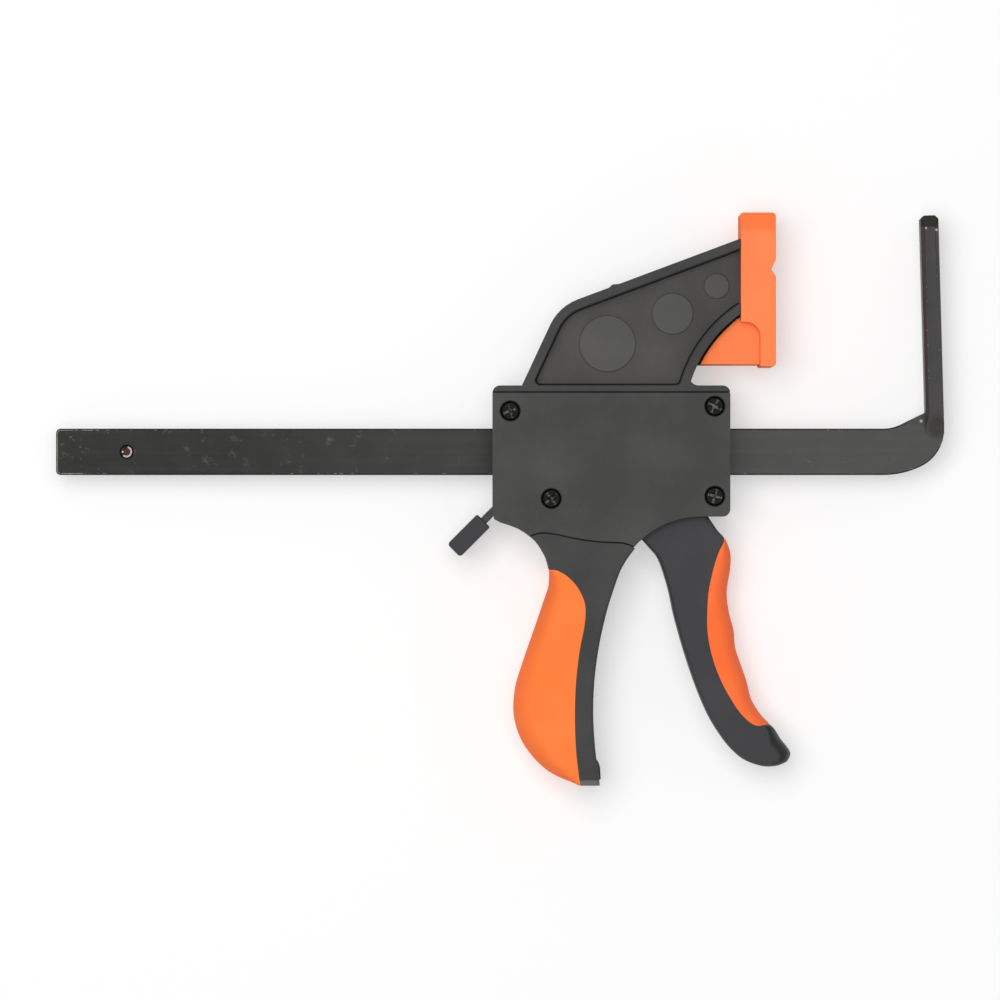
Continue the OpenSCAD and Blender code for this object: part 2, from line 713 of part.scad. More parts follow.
module body_frame() {
    color(plastic_dark) difference() {
        union() {
            difference() {
                union() {
                    slab(0, body_t) housing_outline();
                    jaw();
                    handle_core();
                }
                slab(side_wall, cover_z + past) translate([rear_x + wall, cavity_low])
                    square([body_w - 2 * wall, cavity_top - cavity_low]);
                throat();
                lever_opening();
                slab(cover_z, body_t + past) cover_outline(seam, past);
            }
            for (p = screw_at) peg(p, 2 * boss_r, side_wall - weld, cover_z);
            peg(brake, pin_boss_d, side_wall - weld, mid_z - knuckle_w / 2 - pin_clear);
            spring_rib();
        }
        for (p = screw_at) peg(p, screw_d, cover_z - screw_len, body_t);
        peg(pivot, pivot_d, pin_seat, side_wall + past);
        peg(brake, brake_d, pin_seat, mid_z);
        bar_passage();
        lever_spring_pockets();
    }
}

// Rib across the housing that guides the bar and carries the drive spring on a stub
module spring_rib() {
    translate([spring_x - rib_t, cavity_low - weld, side_wall - weld])
        cube([rib_t, cavity_top - cavity_low + 2 * weld, cover_z - side_wall + weld]);
    translate([spring_x - weld, nose.y, mid_z]) rotate([0, 90, 0])
        cylinder(d = spring_d - 2 * spring_wire - 2 * stub_clear, h = stub_len + weld);
}

// Hard tongue of the handle, which the soft grip is moulded round
module handle_tongue() {
    inner = [for (i = [tongue_in : len(palm_line) - 1 - tongue_in]) palm_line[i] + [grip_skin, 0]];
    outer = [for (i = [tongue_in : len(grip_line) - 1 - tongue_in]) grip_line[i] + [weld, 0]];
    slab(mid_z - grip_core_t / 2, mid_z + grip_core_t / 2) polygon(concat(inner, reversed(outer)));
}

module handle_core() {
    // Small at the tight turns, growing along the neck, and none where the grip meets the core
    edge_r = [
        for (i = [0 : len(core_line) - 1])
            small_r + (handle_r - small_r) * min(1, max(0, (i - tight_end) / (neck_end - tight_end)))
    ];
    neck_r = [for (i = [0 : len(core_line) - 1]) i < neck_end ? edge_r[i] : 0];
    limb(
        core_line, front_line, neck_r, edge_r, all_along(core_line, handle_r), all_along(front_line, handle_r),
        handle_t
    );
    handle_tongue();
    slab(mid_z - toe_t / 2, mid_z + toe_t / 2) polygon([for (p = toe_points) from_handle(p)]);
}

module handle_grip() {
    depth = all_along(palm_line, handle_t / 2 - past);
    color(plastic_orange) difference() {
        limb(palm_line, grip_line, all_along(palm_line, palm_r), all_along(grip_line, 0), depth, depth, handle_t);
        handle_tongue();
    }
}

module cover_plate() {
    color(plastic_dark) difference() {
        union() {
            slab(cover_z, body_t) cover_outline(0, 0);
            peg(brake, pin_boss_d, mid_z + knuckle_w / 2 + pin_clear, cover_z + weld);
        }
        for (p = screw_at) {
            peg(p, screw_d, cover_z - past, body_t);
            peg(p, bore_d, body_t - bore_depth, body_t + past);
        }
        peg(pivot, pivot_d, cover_z - past, body_t - pin_seat);
        peg(brake, brake_d, mid_z, body_t - pin_seat);
    }
}

module cover_screws() {
    top = body_t - bore_depth + head_t;
    color(steel_dark) for (p = screw_at) difference() {
        union() {
            peg(p, head_d, body_t - bore_depth, top);
            peg(p, screw_d, cover_z - screw_len + past, body_t - bore_depth + weld);
        }
        for (a = [0, 90]) translate([p.x, p.y, top]) rotate(a)
            cube([cross_len, cross_w, 2 * cross_depth], center = true);
    }
}

module jaw_pad() {
    color(plastic_orange) difference() {
        union() {
            slab(0, body_t) pad_outline();
            slab(mid_z - gusset_t / 2, mid_z + gusset_t / 2) gusset_outline();
        }
        slab(mid_z - tongue_t / 2 - pad_fit, mid_z + tongue_t / 2 + pad_fit) tongue_outline(pad_fit);
    }
}

module pad_outline() {
    back = jaw_reach + pad_fit;
    plate = pad_face - plate_t;
    lip = jaw_end_y - pad_lip;
    polygon(rounded([
        [back, pad_top, pad_r / 2], [back, lip, 0], [plate, lip, web_r], [plate, pad_low, pad_r / 2],
        [pad_face, pad_low, pad_r], [pad_face, groove_y - groove_low, groove_r],
        [pad_face - groove, groove_y, groove_r], [pad_face, groove_y + groove_h - groove_low, groove_r],
        [pad_face, pad_top, pad_r]
    ]));
}

// Thin web of the pad that follows the arc under the jaw
module gusset_outline() {
    low = [jaw_arc.x - jaw_arc_r, pad_low + gusset_step];
    intersection() {
        translate(jaw_arc) circle(r = jaw_arc_r - gusset_gap);
        translate(low) square([pad_face - plate_t + weld, gusset_top] - low);
    }
}

// Side view of the bar: straight, then an edgewise bend, then the turn into the arm
module bar_outline() {
    arm_foot = around(corner_c, corner_r, arm_lean);
    root = arm_foot + arm_root * [-sin(arm_lean), cos(arm_lean)];
    inner = root - arm_t * [cos(arm_lean), sin(arm_lean)];
    polygon(concat(
        rounded([
            [bend_x - past, bar_w / 2, 0], [-bar_back, bar_w / 2, bar_end_r],
            [-bar_back, -bar_w / 2, bar_end_r], [bend_x - past, -bar_w / 2, 0]
        ]),
        arc(bend_c, bend_outer_r, 270, 270 + bend_angle),
        arc(corner_c, corner_r, 270 + bend_angle, 360 + arm_lean),
        [root, inner],
        [[inner.x, bar_w / 2 + bend_r * (1 - cos(bend_angle))
            + (inner.x - bend_x - bend_r * sin(bend_angle)) * tan(bend_angle)]],
        reversed(arc(bend_c, bend_r, 270, 270 + bend_angle))
    ));
}

// Arm: a bevelled bar set across the flat one, its foot sloping down to the bar's faces
module arm() {
    foot = around(corner_c, corner_r, arm_lean);
    length = (arm_h - foot.y) / cos(arm_lean);
    h = arm_w / 2;
    w = bar_t / 2;
    s = arm_slope / 2;
    b = arm_bevel;
    translate([foot.x, foot.y, mid_z]) rotate(arm_lean) intersection() {
        translate([0, -corner_r, 0]) rotate([-90, 0, 0]) linear_extrude(length + corner_r) polygon([
            [-b, -h], [0, b - h], [0, h - b], [-b, h], [b - arm_t, h], [-arm_t, h - b], [-arm_t, b - h],
            [b - arm_t, -h]
        ]);
        translate([-arm_t - past, 0, 0]) rotate([90, 0, 90]) linear_extrude(arm_t + 2 * past) polygon([
            [arm_rise - s, -w], [arm_rise + s, -h], [length - arm_tip, -h], [length, b - h],
            [length, h - b], [length - arm_tip, h], [arm_rise + s, h], [arm_rise - s, w]
        ]);
        translate([0, 0, -arm_w]) linear_extrude(2 * arm_w) polygon([
            [0, -corner_r], [0, length - b], [-b, length], [b - arm_t, length], [-arm_t, length - b],
            [-arm_t, -corner_r]
        ]);
    }
}

module clamp_bar() {
    color(steel_dark) difference() {
        union() {
            slab(mid_z - bar_t / 2, mid_z + bar_t / 2) bar_outline();
            arm();
        }
        peg([stop_x, 0], stop_d, 0, body_t);
        for (a = [0, 180]) translate([stop_x, 0, mid_z]) rotate([a, 0, 0])
            translate([0, 0, bar_t / 2 - stop_break - weld])
                cylinder(d1 = stop_d - 2 * weld, d2 = stop_d + 2 * (stop_break + weld), h = stop_break + 2 * weld);
    }
}

module bar_stop_pin() {
    reach = bar_t / 2 + stop_proud;
    color(steel_bright) difference() {
        peg([stop_x, 0], stop_d, mid_z - reach, mid_z + reach);
        peg([stop_x, 0], stop_d - 2 * stop_wall, 0, body_t);
        translate([stop_x - stop_d, -stop_slit / 2, 0]) cube([stop_d, stop_slit, body_t]);
    }
}

// One cheek of the trigger, from its eye past the bar to the neck
module cheek_outline() {
    translate(pivot) circle(r = eye_r);
    translate(nose) circle(r = nose_r);
    polygon([
        pivot - [eye_r, 0], nose - [nose_r / 2, 0], from_trigger(cheek_points[0]),
        from_trigger(cheek_points[1]), [pivot.x + cheek_front, nose.y], pivot + [eye_r, 0]
    ]);
}

module trigger() {
    // Square where the soft strip meets the trigger, and a deeper rounding that grows from the strip to the tip
    tip = [for (i = [0 : len(outer_line) - 1]) min(1, max(0, (i - border_end) / curve_steps))];
    outer_r = [for (i = [0 : len(tip) - 1]) i < border_start ? trigger_r : tip_r * tip[i]];
    outer_d = [for (i = [0 : len(tip) - 1]) trigger_r + (tip_d - trigger_r) * tip[i]];
    color(plastic_dark) difference() {
        union() {
            limb(
                inner_line, outer_line, all_along(inner_line, trigger_r), outer_r,
                all_along(inner_line, trigger_r), outer_d, trigger_t
            );
            for (z = [trigger_back, trigger_back + trigger_t - cheek_t]) slab(z, z + cheek_t) cheek_outline();
        }
        peg(pivot, pivot_d + 2 * pin_clear, 0, body_t);
    }
}

module trigger_grip() {
    depth = all_along(finger_line, trigger_t / 2 - past);
    color(plastic_orange) limb(
        border_line, finger_line, all_along(border_line, 0), all_along(finger_line, finger_r), depth, depth,
        trigger_t
    );
}

module trigger_pin() {
    color(steel_bright) peg(pivot, pivot_d, pin_seat, body_t - pin_seat);
}

// A drive plate, counted from the trigger's nose
module drive_plate(place) {
    low = cavity_low + drive_end_gap;
    color(steel_bright) translate([drive_x - place * drive_pitch, 0, mid_z]) rotate([90, 0, 90])
        linear_extrude(drive_t) difference() {
            translate([low, -drive_w / 2]) square([bar_w / 2 + drive_up - low, drive_w]);
            square([slot_h, slot_t], center = true);
        }
}

module drive_spring() {
    color(steel_bright) translate([spring_x, nose.y, mid_z])
        coil(spring_d, spring_wire, spring_turns, spring_len);
}

// Lever in its own frame: its pin at the origin, its upper leg along +Y
module brake_lever() {
    color(steel_dark) difference() {
        translate([brake.x, brake.y, mid_z]) union() {
            rotate(-lever_lean) difference() {
                translate([-lever_t / 2, plate_start, -lever_w / 2])
                    cube([lever_t, lever_top - plate_start, lever_w]);
                translate([-lever_t, bar_in_lever - lever_hole / 2, -slot_t / 2])
                    cube([2 * lever_t, lever_hole, slot_t]);
                for (side = [-1, 1]) translate([-lever_t, -past, side * (stem_w / 2 + lever_w) - lever_w])
                    cube([2 * lever_t, leg_start + past, 2 * lever_w]);
            }
            rotate(leg_dir) translate([plate_start, -lever_t / 2, -stem_w / 2])
                cube([leg_start + weld - plate_start, lever_t, stem_w]);
            rotate(leg_dir) translate([leg_start, -lever_t / 2, -leg_w / 2])
                cube([tab_start + tab_len - 2 * tab_r - leg_start, lever_t, leg_w]);
            cylinder(r = knuckle_r, h = knuckle_w, center = true);
        }
        peg(brake, brake_d + 2 * pin_clear, 0, body_t);
    }
}

module release_tab() {
    inner = tab_len - 2 * tab_r;
    color(plastic_dark) translate([brake.x, brake.y, mid_z]) rotate(leg_dir) difference() {
        translate([tab_start, 0, -tab_w / 2]) linear_extrude(tab_w) polygon(rounded([
            [0, -tab_t / 2, tab_r / 2], [tab_len, -tab_t / 2, tab_r], [tab_len, tab_t / 2, tab_r],
            [0, tab_t / 2, tab_r / 2]
        ]));
        translate([tab_start - past, -lever_t / 2, -leg_w / 2]) cube([inner + past, lever_t, leg_w]);
    }
}

module brake_pin() {
    color(steel_bright) peg(brake, brake_d, pin_seat, body_t - pin_seat);
}

// A lever spring between its pocket and the leaning lever, on one side of the bar
module brake_spring(side) {
    start = rear_x + wall - pocket;
    lean = -(brake.y + lever_spring_d / 2) * tan(lever_lean);
    end = brake.x + lean - lever_t / (2 * cos(lever_lean));
    color(steel_bright) translate([start, 0, mid_z + side * lever_spring_z])
        coil(lever_spring_d, lever_spring_wire, lever_spring_turns, end - start - pin_clear);
}

body_frame();
cover_plate();
cover_screws();
jaw_pad();
handle_grip();
clamp_bar();
bar_stop_pin();
trigger();
trigger_grip();
trigger_pin();
drive_plate(1);  // drive_plate_front
drive_plate(2);  // drive_plate_rear
drive_spring();
brake_lever();
release_tab();
brake_pin();
brake_spring(-1);  // brake_spring_back
brake_spring(1);  // brake_spring_cover
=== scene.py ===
import math

import bmesh
import bpy
from mathutils import Matrix, Vector


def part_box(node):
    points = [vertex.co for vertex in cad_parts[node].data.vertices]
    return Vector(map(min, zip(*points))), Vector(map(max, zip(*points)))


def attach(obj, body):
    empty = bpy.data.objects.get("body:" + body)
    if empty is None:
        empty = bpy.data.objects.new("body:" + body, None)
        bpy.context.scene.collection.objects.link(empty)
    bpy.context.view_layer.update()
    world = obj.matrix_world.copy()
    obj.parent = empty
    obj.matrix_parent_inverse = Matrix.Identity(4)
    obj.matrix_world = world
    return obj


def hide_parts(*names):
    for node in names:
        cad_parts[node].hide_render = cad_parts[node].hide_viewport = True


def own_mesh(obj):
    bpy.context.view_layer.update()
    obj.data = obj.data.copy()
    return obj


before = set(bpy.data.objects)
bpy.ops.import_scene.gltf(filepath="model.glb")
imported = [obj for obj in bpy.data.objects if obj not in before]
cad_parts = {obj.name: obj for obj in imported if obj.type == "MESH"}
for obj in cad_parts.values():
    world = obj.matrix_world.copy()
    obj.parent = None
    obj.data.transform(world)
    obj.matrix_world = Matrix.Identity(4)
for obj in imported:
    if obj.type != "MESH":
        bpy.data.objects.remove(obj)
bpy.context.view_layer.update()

MM = 0.001

# Sizes and places in millimetres and degrees, in the frame of the clamp's solids: X along the bar,
# Y up to the jaw, Z out to the cover. MID_Z is the middle of the bar, and a point within NEAR of a
# level counts as on it.
MID_Z = 14.0
NEAR = 0.05

# Housing: its outside and the hollow behind the cover
BODY_LOW = -22.3
EDGE_R = 0.35
SHELL_LOW = -21.6
HOLLOW_HALF, HOLLOW_TOP, HOLLOW_Z = 40.3, 20.2, (0.5, 24.4)
COVER_TOP, COVER_SEAT, COVER_NEAR = 20.5, 24.0, 0.4

# Jaw: its recess with web, corners in painted shade and round spots, its upper edge, and the throat's
# lip
JAW_LOW, JAW_RIM = 22.8, 9.6
RECESS_LOW, WEB_LEVEL, SHADE_BELOW = 23.0, 9.0, (0.01, 0.7)
MARKS_LOW, MARK_LEVEL, MARK_R = 26.0, 9.5, 0.22
JAW_EDGE, JAW_SLOPE = (-0.9, 56.2), 20.5
THROAT_MIDDLE, THROAT_START, THROAT_SWEEP = (70.7, 9.9), 125.0, 28.6
LIP_R, LIP_Z = (44.95, 45.95), (2.0, 19.5)

# Pad: the socket for the jaw's tongue, and the height from which painted shade makes it redder; both
# grips get that painted shade only on their sides, and their height lies above everything
SOCKET_LOW, SOCKET_END, SOCKET_HALF = 48.0, 51.0, 9.5
PAD_SHADE_FROM, ABOVE_ALL = 75.0, 200.0

# Handle: its palm grip, its neck, and its toe with a turned-over corner and a paler end, a painted
# highlight
HANDLE_T = 27.0
PALM_R, PALM_CROWN = 9.0, 0.35
NECK_KINK, KINK_REACH, KINK_DROP = (-19.65, -40.61), 0.1, 0.1
TOE_X, TOE_Y, TOE_HALF, TOE_R = -3.9, -114.6, 12.0, 1.5
TOE_REACH, TOE_TURN_FROM = (0.25, 1.7), 0.05
TOE_HIGHLIGHT = (-112.5, -113.1)

# Cover screws: where they sit, how far each cross is turned, head and shank
SCREW_SEATS = [(-34.7, 13.95), (35.5, 15.55), (-20.6, -16.1), (35.5, -15.3)]
SCREW_TURNS = [20.0, 62.0, 38.0, 74.0]
HEAD_R, HEAD_LOW, HEAD_TOP = 3.3, 25.9, 27.6
SHANK_R, SHANK_LOW = 1.6, 9.5

# Bar: its rolled edges, which end in the turn below the arm, and the arm's broken ones
BAR_HALF, BAR_EDGE_R = 3.0, 0.7
TURN_X, TURN_Y = 100.0, 3.0
ARM_X, ARM_LOW, ARM_EDGE_R = 104.0, 16.0, 0.2

# Stop pin across the bar's plain end
STOP_X, STOP_R, STOP_WALL, STOP_REACH, STOP_CLEAR = -166.8, 2.0, 0.8, 4.5, 3.0
STOP_SLIT, STOP_EASE = 26.0, 0.3
STOP_DARK_SIDE, STOP_DARK_SPREAD = 155.0, 0.25

# Where the bar's finish changes: heights, stretches along X, rings of painted shade from far to
# close, and knocks painted bright as highlights
ARM_LINES = (8.5, 14.0)
DARK_TO_PALE = (-130.0, 60.0)
TIP_BEVEL = (77.2, 77.7)
STOP_RING = (2.75, 2.45)
ARM_FOOT, FOOT_RING = (112.5, 8.5), (5.0, 2.5)
PLAIN_END = (-165.0, -188.0)
RUBBED_REAR = (-60.0, -110.0)
KNOCK_GLINTS = [((108.4, 77.0), 0.5), ((112.0, 76.4), 0.6), ((106.9, 10.6), 0.7)]

# Trigger: its pivot, the cut between cheeks and limb, the limb's turned edges, its tip, its strip
PIVOT_X = 24.7
TRIGGER_T = 19.0
LIMB_CUT = -20.6
LIMB_TURN, LIMB_SQUARE = 2.0, 0.15
TIP_TURN, TIP_DROP, TIP_THINS, TIP_SIDE = 4.45, 6.45, 5.5, 0.4
TIP_SHADE_FROM, TIP_SHADE_FADE = -93.2, 1.5
STRIP_PROUD = 0.005
FINGER_R, FINGER_CROWN, FINGER_SAG = 6.0, 0.2, 0.55

# Springs along X
DRIVE_SPRING = {
    "start": (-8.4, -12.6, MID_Z), "length": 20.0, "across": 7.0, "wire": 1.0, "turns": 8,
}
LEVER_SPRINGS_X = -38.8
LEVER_SPRINGS = {"across": 4.6, "wire": 0.6, "turns": 4}


def linear(written):
    """A colour written as sRGB hex, as the linear RGBA that the shaders take."""
    parts = [int(written[i : i + 2], 16) / 255 for i in (0, 2, 4)]
    light = (c / 12.92 if c <= 0.04045 else ((c + 0.055) / 1.055) ** 2.4 for c in parts)
    return (*light, 1.0)


def per_mm(size):
    """The texture scale that gives a pattern of this size in millimetres, in metre coordinates."""
    return 1000.0 / size


def add(tree, kind, settings=None, inputs=None):
    """One shader node with its settings; each input is a value, or an output that links to it."""
    made = tree.nodes.new("ShaderNode" + kind)
    for key, value in (settings or {}).items():
        setattr(made, key, value)
    for key, value in (inputs or {}).items():
        if isinstance(value, bpy.types.NodeSocket):
            tree.links.new(value, made.inputs[key])
        else:
            made.inputs[key].default_value = value
    return made


def finish_of(name, **sockets):
    """A new material with its shader's uniform sockets set; returns it, its tree and its shader."""
    material = bpy.data.materials.new(name)
    material.use_nodes = True
    tree = material.node_tree
    shader = tree.nodes["Principled BSDF"]
    for key, value in sockets.items():
        shader.inputs[key.replace("_", " ")].default_value = value
    return material, tree, shader


def moulded_nylon(name, dark, pale, gloss):
    # Glass-filled nylon from a spark-eroded mould: a fine even grain that scatters the light, faint
    # cloudy patches where the melt flowed, and a painted highlight that makes the handle's toe paler
    # at its end.
    material, tree, shader = finish_of(name, Roughness=gloss, IOR=1.53, Specular_IOR_Level=0.32)
    place = add(tree, "TexCoord").outputs["Object"]
    clouds = add(tree, "TexNoise", None, {"Vector": place, "Scale": per_mm(22), "Detail": 4.0})
    flow = add(tree, "MapRange", None, {
        "Value": clouds.outputs["Fac"], "From Min": 0.35, "From Max": 0.7,
    })
    # The real grain is about 0.1 mm; drawn at 0.6 mm so that it shows at all
    grain = add(tree, "TexNoise", None, {"Vector": place, "Scale": per_mm(0.6), "Detail": 2.0})
    fleck = add(tree, "MapRange", None, {
        "Value": grain.outputs["Fac"], "From Min": 0.3, "From Max": 0.7,
        "To Min": -0.12, "To Max": 0.12,
    })
    tone = add(tree, "Math", {"operation": "ADD"}, {
        0: flow.outputs["Result"], 1: fleck.outputs["Result"],
    })
    colour = add(tree, "Mix", {"data_type": "RGBA"}, {
        0: tone.outputs[0], 6: linear(dark), 7: linear(pale),
    })
    at = add(tree, "SeparateXYZ", None, {"Vector": place})
    toe = add(tree, "MapRange", None, {
        "Value": at.outputs["Y"], "From Min": TOE_HIGHLIGHT[0] * MM, "From Max": TOE_HIGHLIGHT[1] * MM,
        "To Max": 0.9,
    })
    toe_lit = add(tree, "Mix", {"data_type": "RGBA"}, {
        0: toe.outputs["Result"], 6: colour.outputs[2], 7: linear("65625f"),
    })
    tree.links.new(toe_lit.outputs[2], shader.inputs["Base Color"])
    bump = add(tree, "Bump", None, {
        "Height": grain.outputs["Fac"], "Strength": 0.35, "Distance": 0.04 * MM,
    })
    tree.links.new(bump.outputs["Normal"], shader.inputs["Normal"])
    return material


def shade_tip_turn(material, dark):
    # Painted shade on the trigger's tip: it is darker where it turns over to the strip's side.
    tree = material.node_tree
    shader = tree.nodes["Principled BSDF"]
    skin = shader.inputs["Base Color"].links[0].from_socket
    place = add(tree, "TexCoord")
    at = add(tree, "SeparateXYZ", None, {"Vector": place.outputs["Object"]})
    facing = add(tree, "SeparateXYZ", None, {"Vector": place.outputs["Normal"]})
    low = add(tree, "MapRange", None, {
        "Value": at.outputs["Y"],
        "From Min": TIP_SHADE_FROM * MM, "From Max": (TIP_SHADE_FROM - TIP_SHADE_FADE) * MM,
    })
    turning = add(tree, "MapRange", None, {
        "Value": facing.outputs["X"], "From Min": 0.08, "From Max": 0.38,
    })
    upright = add(tree, "MapRange", None, {
        "Value": facing.outputs["X"], "From Min": 0.68, "From Max": 0.85,
        "To Min": 1.0, "To Max": 0.3,
    })
    band = add(tree, "Math", {"operation": "MULTIPLY"}, {
        0: turning.outputs["Result"], 1: upright.outputs["Result"],
    })
    share = add(tree, "Math", {"operation": "MULTIPLY"}, {
        0: band.outputs[0], 1: low.outputs["Result"],
    })
    colour = add(tree, "Mix", {"data_type": "RGBA"}, {
        0: share.outputs[0], 6: skin, 7: linear(dark),
    })
    tree.links.new(colour.outputs[2], shader.inputs["Base Color"])


def soft_elastomer(name, deep, bright, shade_tint, shade_from=ABOVE_ALL):
    # Thermoplastic elastomer moulded over the core: matt and slightly waxy, with slow changes of
    # tone and a very fine orange-peel skin. A redder painted shade lies where it turns over to its
    # sides, and past a height given in millimetres.
    material, tree, shader = finish_of(name, Roughness=0.62, IOR=1.48, Specular_IOR_Level=0.08)
    fade = 2.0
    place = add(tree, "TexCoord").outputs["Object"]
    clouds = add(tree, "TexNoise", None, {"Vector": place, "Scale": per_mm(22), "Detail": 2.0})
    tone = add(tree, "MapRange", None, {
        "Value": clouds.outputs["Fac"], "From Min": 0.3, "From Max": 0.7,
    })
    colour = add(tree, "Mix", {"data_type": "RGBA"}, {
        0: tone.outputs["Result"], 6: linear(deep), 7: linear(bright),
    })
    at = add(tree, "SeparateXYZ", None, {"Vector": place})
    band = add(tree, "MapRange", None, {
        "Value": at.outputs["Y"], "From Min": shade_from * MM, "From Max": (shade_from + fade) * MM,
        "To Max": 0.7,
    })
    normal = add(tree, "NewGeometry").outputs["Normal"]
    facing = add(tree, "SeparateXYZ", None, {"Vector": normal})
    upright = add(tree, "Math", {"operation": "ABSOLUTE"}, {0: facing.outputs["Z"]})
    side = add(tree, "MapRange", None, {
        "Value": upright.outputs[0], "From Min": 0.97, "From Max": 0.5,
    })
    red = add(tree, "Math", {"operation": "MAXIMUM"}, {
        0: band.outputs["Result"], 1: side.outputs["Result"],
    })
    banded = add(tree, "Mix", {"data_type": "RGBA"}, {
        0: red.outputs[0], 6: colour.outputs[2], 7: linear(shade_tint),
    })
    tree.links.new(banded.outputs[2], shader.inputs["Base Color"])
    # The real skin is about 0.2 mm; drawn at 0.8 mm so that it shows
    skin = add(tree, "TexNoise", None, {"Vector": place, "Scale": per_mm(0.8), "Detail": 2.0})
    bump = add(tree, "Bump", None, {
        "Height": skin.outputs["Fac"], "Strength": 0.2, "Distance": 0.03 * MM,
    })
    tree.links.new(bump.outputs["Normal"], shader.inputs["Normal"])
    return material


def blackened_steel(name):
    # Drawn flat steel with a black oxide finish: faint draw lines along the bar and along its arm,
    # a painted shade on the rounded edges, pale specks where it has chipped, and bare metal rubbed
    # through along the corners of the plain end.
    material, tree, shader = finish_of(name, Metallic=1.0)
    place = add(tree, "TexCoord").outputs["Object"]
    at = add(tree, "SeparateXYZ", None, {"Vector": place})
    flat_place = add(tree, "CombineXYZ", None, {"X": at.outputs["X"], "Y": at.outputs["Y"]})
    # Real draw lines are about 0.2 mm apart; drawn at 1.6 mm so that they show, and stretched along
    # the bar, then along the arm
    draw = []
    for stretch in ((0.02, 1.0, 1.0), (1.0, 0.03, 1.0)):
        along = add(tree, "Mapping", None, {"Vector": place, "Scale": stretch})
        draw.append(add(tree, "TexNoise", None, {
            "Vector": along.outputs["Vector"], "Scale": per_mm(1.6), "Detail": 4.0,
            "Roughness": 0.6,
        }).outputs["Fac"])
    arm = add(tree, "MapRange", None, {
        "Value": at.outputs["Y"], "From Min": ARM_LINES[0] * MM, "From Max": ARM_LINES[1] * MM,
    })
    lines = add(tree, "Mix", {"data_type": "FLOAT"}, {
        0: arm.outputs["Result"], 2: draw[0], 3: draw[1],
    })
    # Soft blotches count for more than the draw lines
    blotch = add(tree, "TexNoise", None, {"Vector": place, "Scale": per_mm(9), "Detail": 3.0})
    mixed = add(tree, "Mix", {"data_type": "FLOAT"}, {
        0: 0.6, 2: lines.outputs[0], 3: blotch.outputs["Fac"],
    })
    tone = add(tree, "MapRange", None, {
        "Value": mixed.outputs[0], "From Min": 0.3, "From Max": 0.7,
    })
    rear_oxide, front_oxide, arm_oxide = (
        add(tree, "Mix", {"data_type": "RGBA"}, {
            0: tone.outputs["Result"], 6: linear(dark), 7: linear(pale),
        })
        for dark, pale in (("393937", "424240"), ("545453", "5a5a59"), ("4a4949", "545252"))
    )
    front = add(tree, "MapRange", None, {
        "Value": at.outputs["X"],
        "From Min": DARK_TO_PALE[0] * MM, "From Max": DARK_TO_PALE[1] * MM,
    })
    along_bar = add(tree, "Mix", {"data_type": "RGBA"}, {
        0: front.outputs["Result"], 6: rear_oxide.outputs[2], 7: front_oxide.outputs[2],
    })
    along_arm = add(tree, "Mix", {"data_type": "RGBA"}, {
        0: arm.outputs["Result"], 6: along_bar.outputs[2], 7: arm_oxide.outputs[2],
    })
    # The bevel at the arm's tip and the slope at its foot get a painted shade, and the ring round the
    # stop pin a painted shadow
    shade_spots = add(tree, "MapRange", None, {
        "Value": at.outputs["Y"], "From Min": TIP_BEVEL[0] * MM, "From Max": TIP_BEVEL[1] * MM,
    }).outputs["Result"]
    for (x, y), (far, close), most in (
        ((STOP_X, 0.0), STOP_RING, 1.0),
        (ARM_FOOT, FOOT_RING, 0.6),
    ):
        away = add(tree, "VectorMath", {"operation": "DISTANCE"}, {
            0: flat_place.outputs[0], 1: (x * MM, y * MM, 0.0),
        })
        ring = add(tree, "MapRange", None, {
            "Value": away.outputs["Value"], "From Min": far * MM, "From Max": close * MM,
            "To Max": most,
        })
        shade_spots = add(tree, "Math", {"operation": "MAXIMUM"}, {
            0: shade_spots, 1: ring.outputs["Result"],
        }).outputs[0]
    oxide = add(tree, "Mix", {"data_type": "RGBA"}, {
        0: shade_spots, 6: along_arm.outputs[2], 7: linear("3a3632"),
    })
    # Painted shade on the rounded edges, darker than the oxide beside them
    edge = add(tree, "Attribute", {"attribute_name": "edge"})
    rolled = add(tree, "MapRange", None, {
        "Value": edge.outputs["Fac"], "From Min": 0.55, "From Max": 1.0,
    })
    edge_shaded = add(tree, "Mix", {"data_type": "RGBA"}, {
        0: rolled.outputs["Result"], 6: oxide.outputs[2], 7: linear("232324"),
    })
    # Chips and rubbed corners, thick at the plain end and rare elsewhere
    end = add(tree, "MapRange", None, {
        "Value": at.outputs["X"], "From Min": PLAIN_END[0] * MM, "From Max": PLAIN_END[1] * MM,
        "To Max": 0.16,
    })
    chips = add(tree, "TexNoise", None, {
        "Vector": place, "Scale": per_mm(1.8), "Detail": 3.0, "Roughness": 0.6,
    })
    near = add(tree, "Math", {"operation": "ADD"}, {
        0: chips.outputs["Fac"], 1: end.outputs["Result"],
    })
    chipped = add(tree, "MapRange", None, {
        "Value": near.outputs[0], "From Min": 0.76, "From Max": 0.84, "To Max": 0.4,
    })
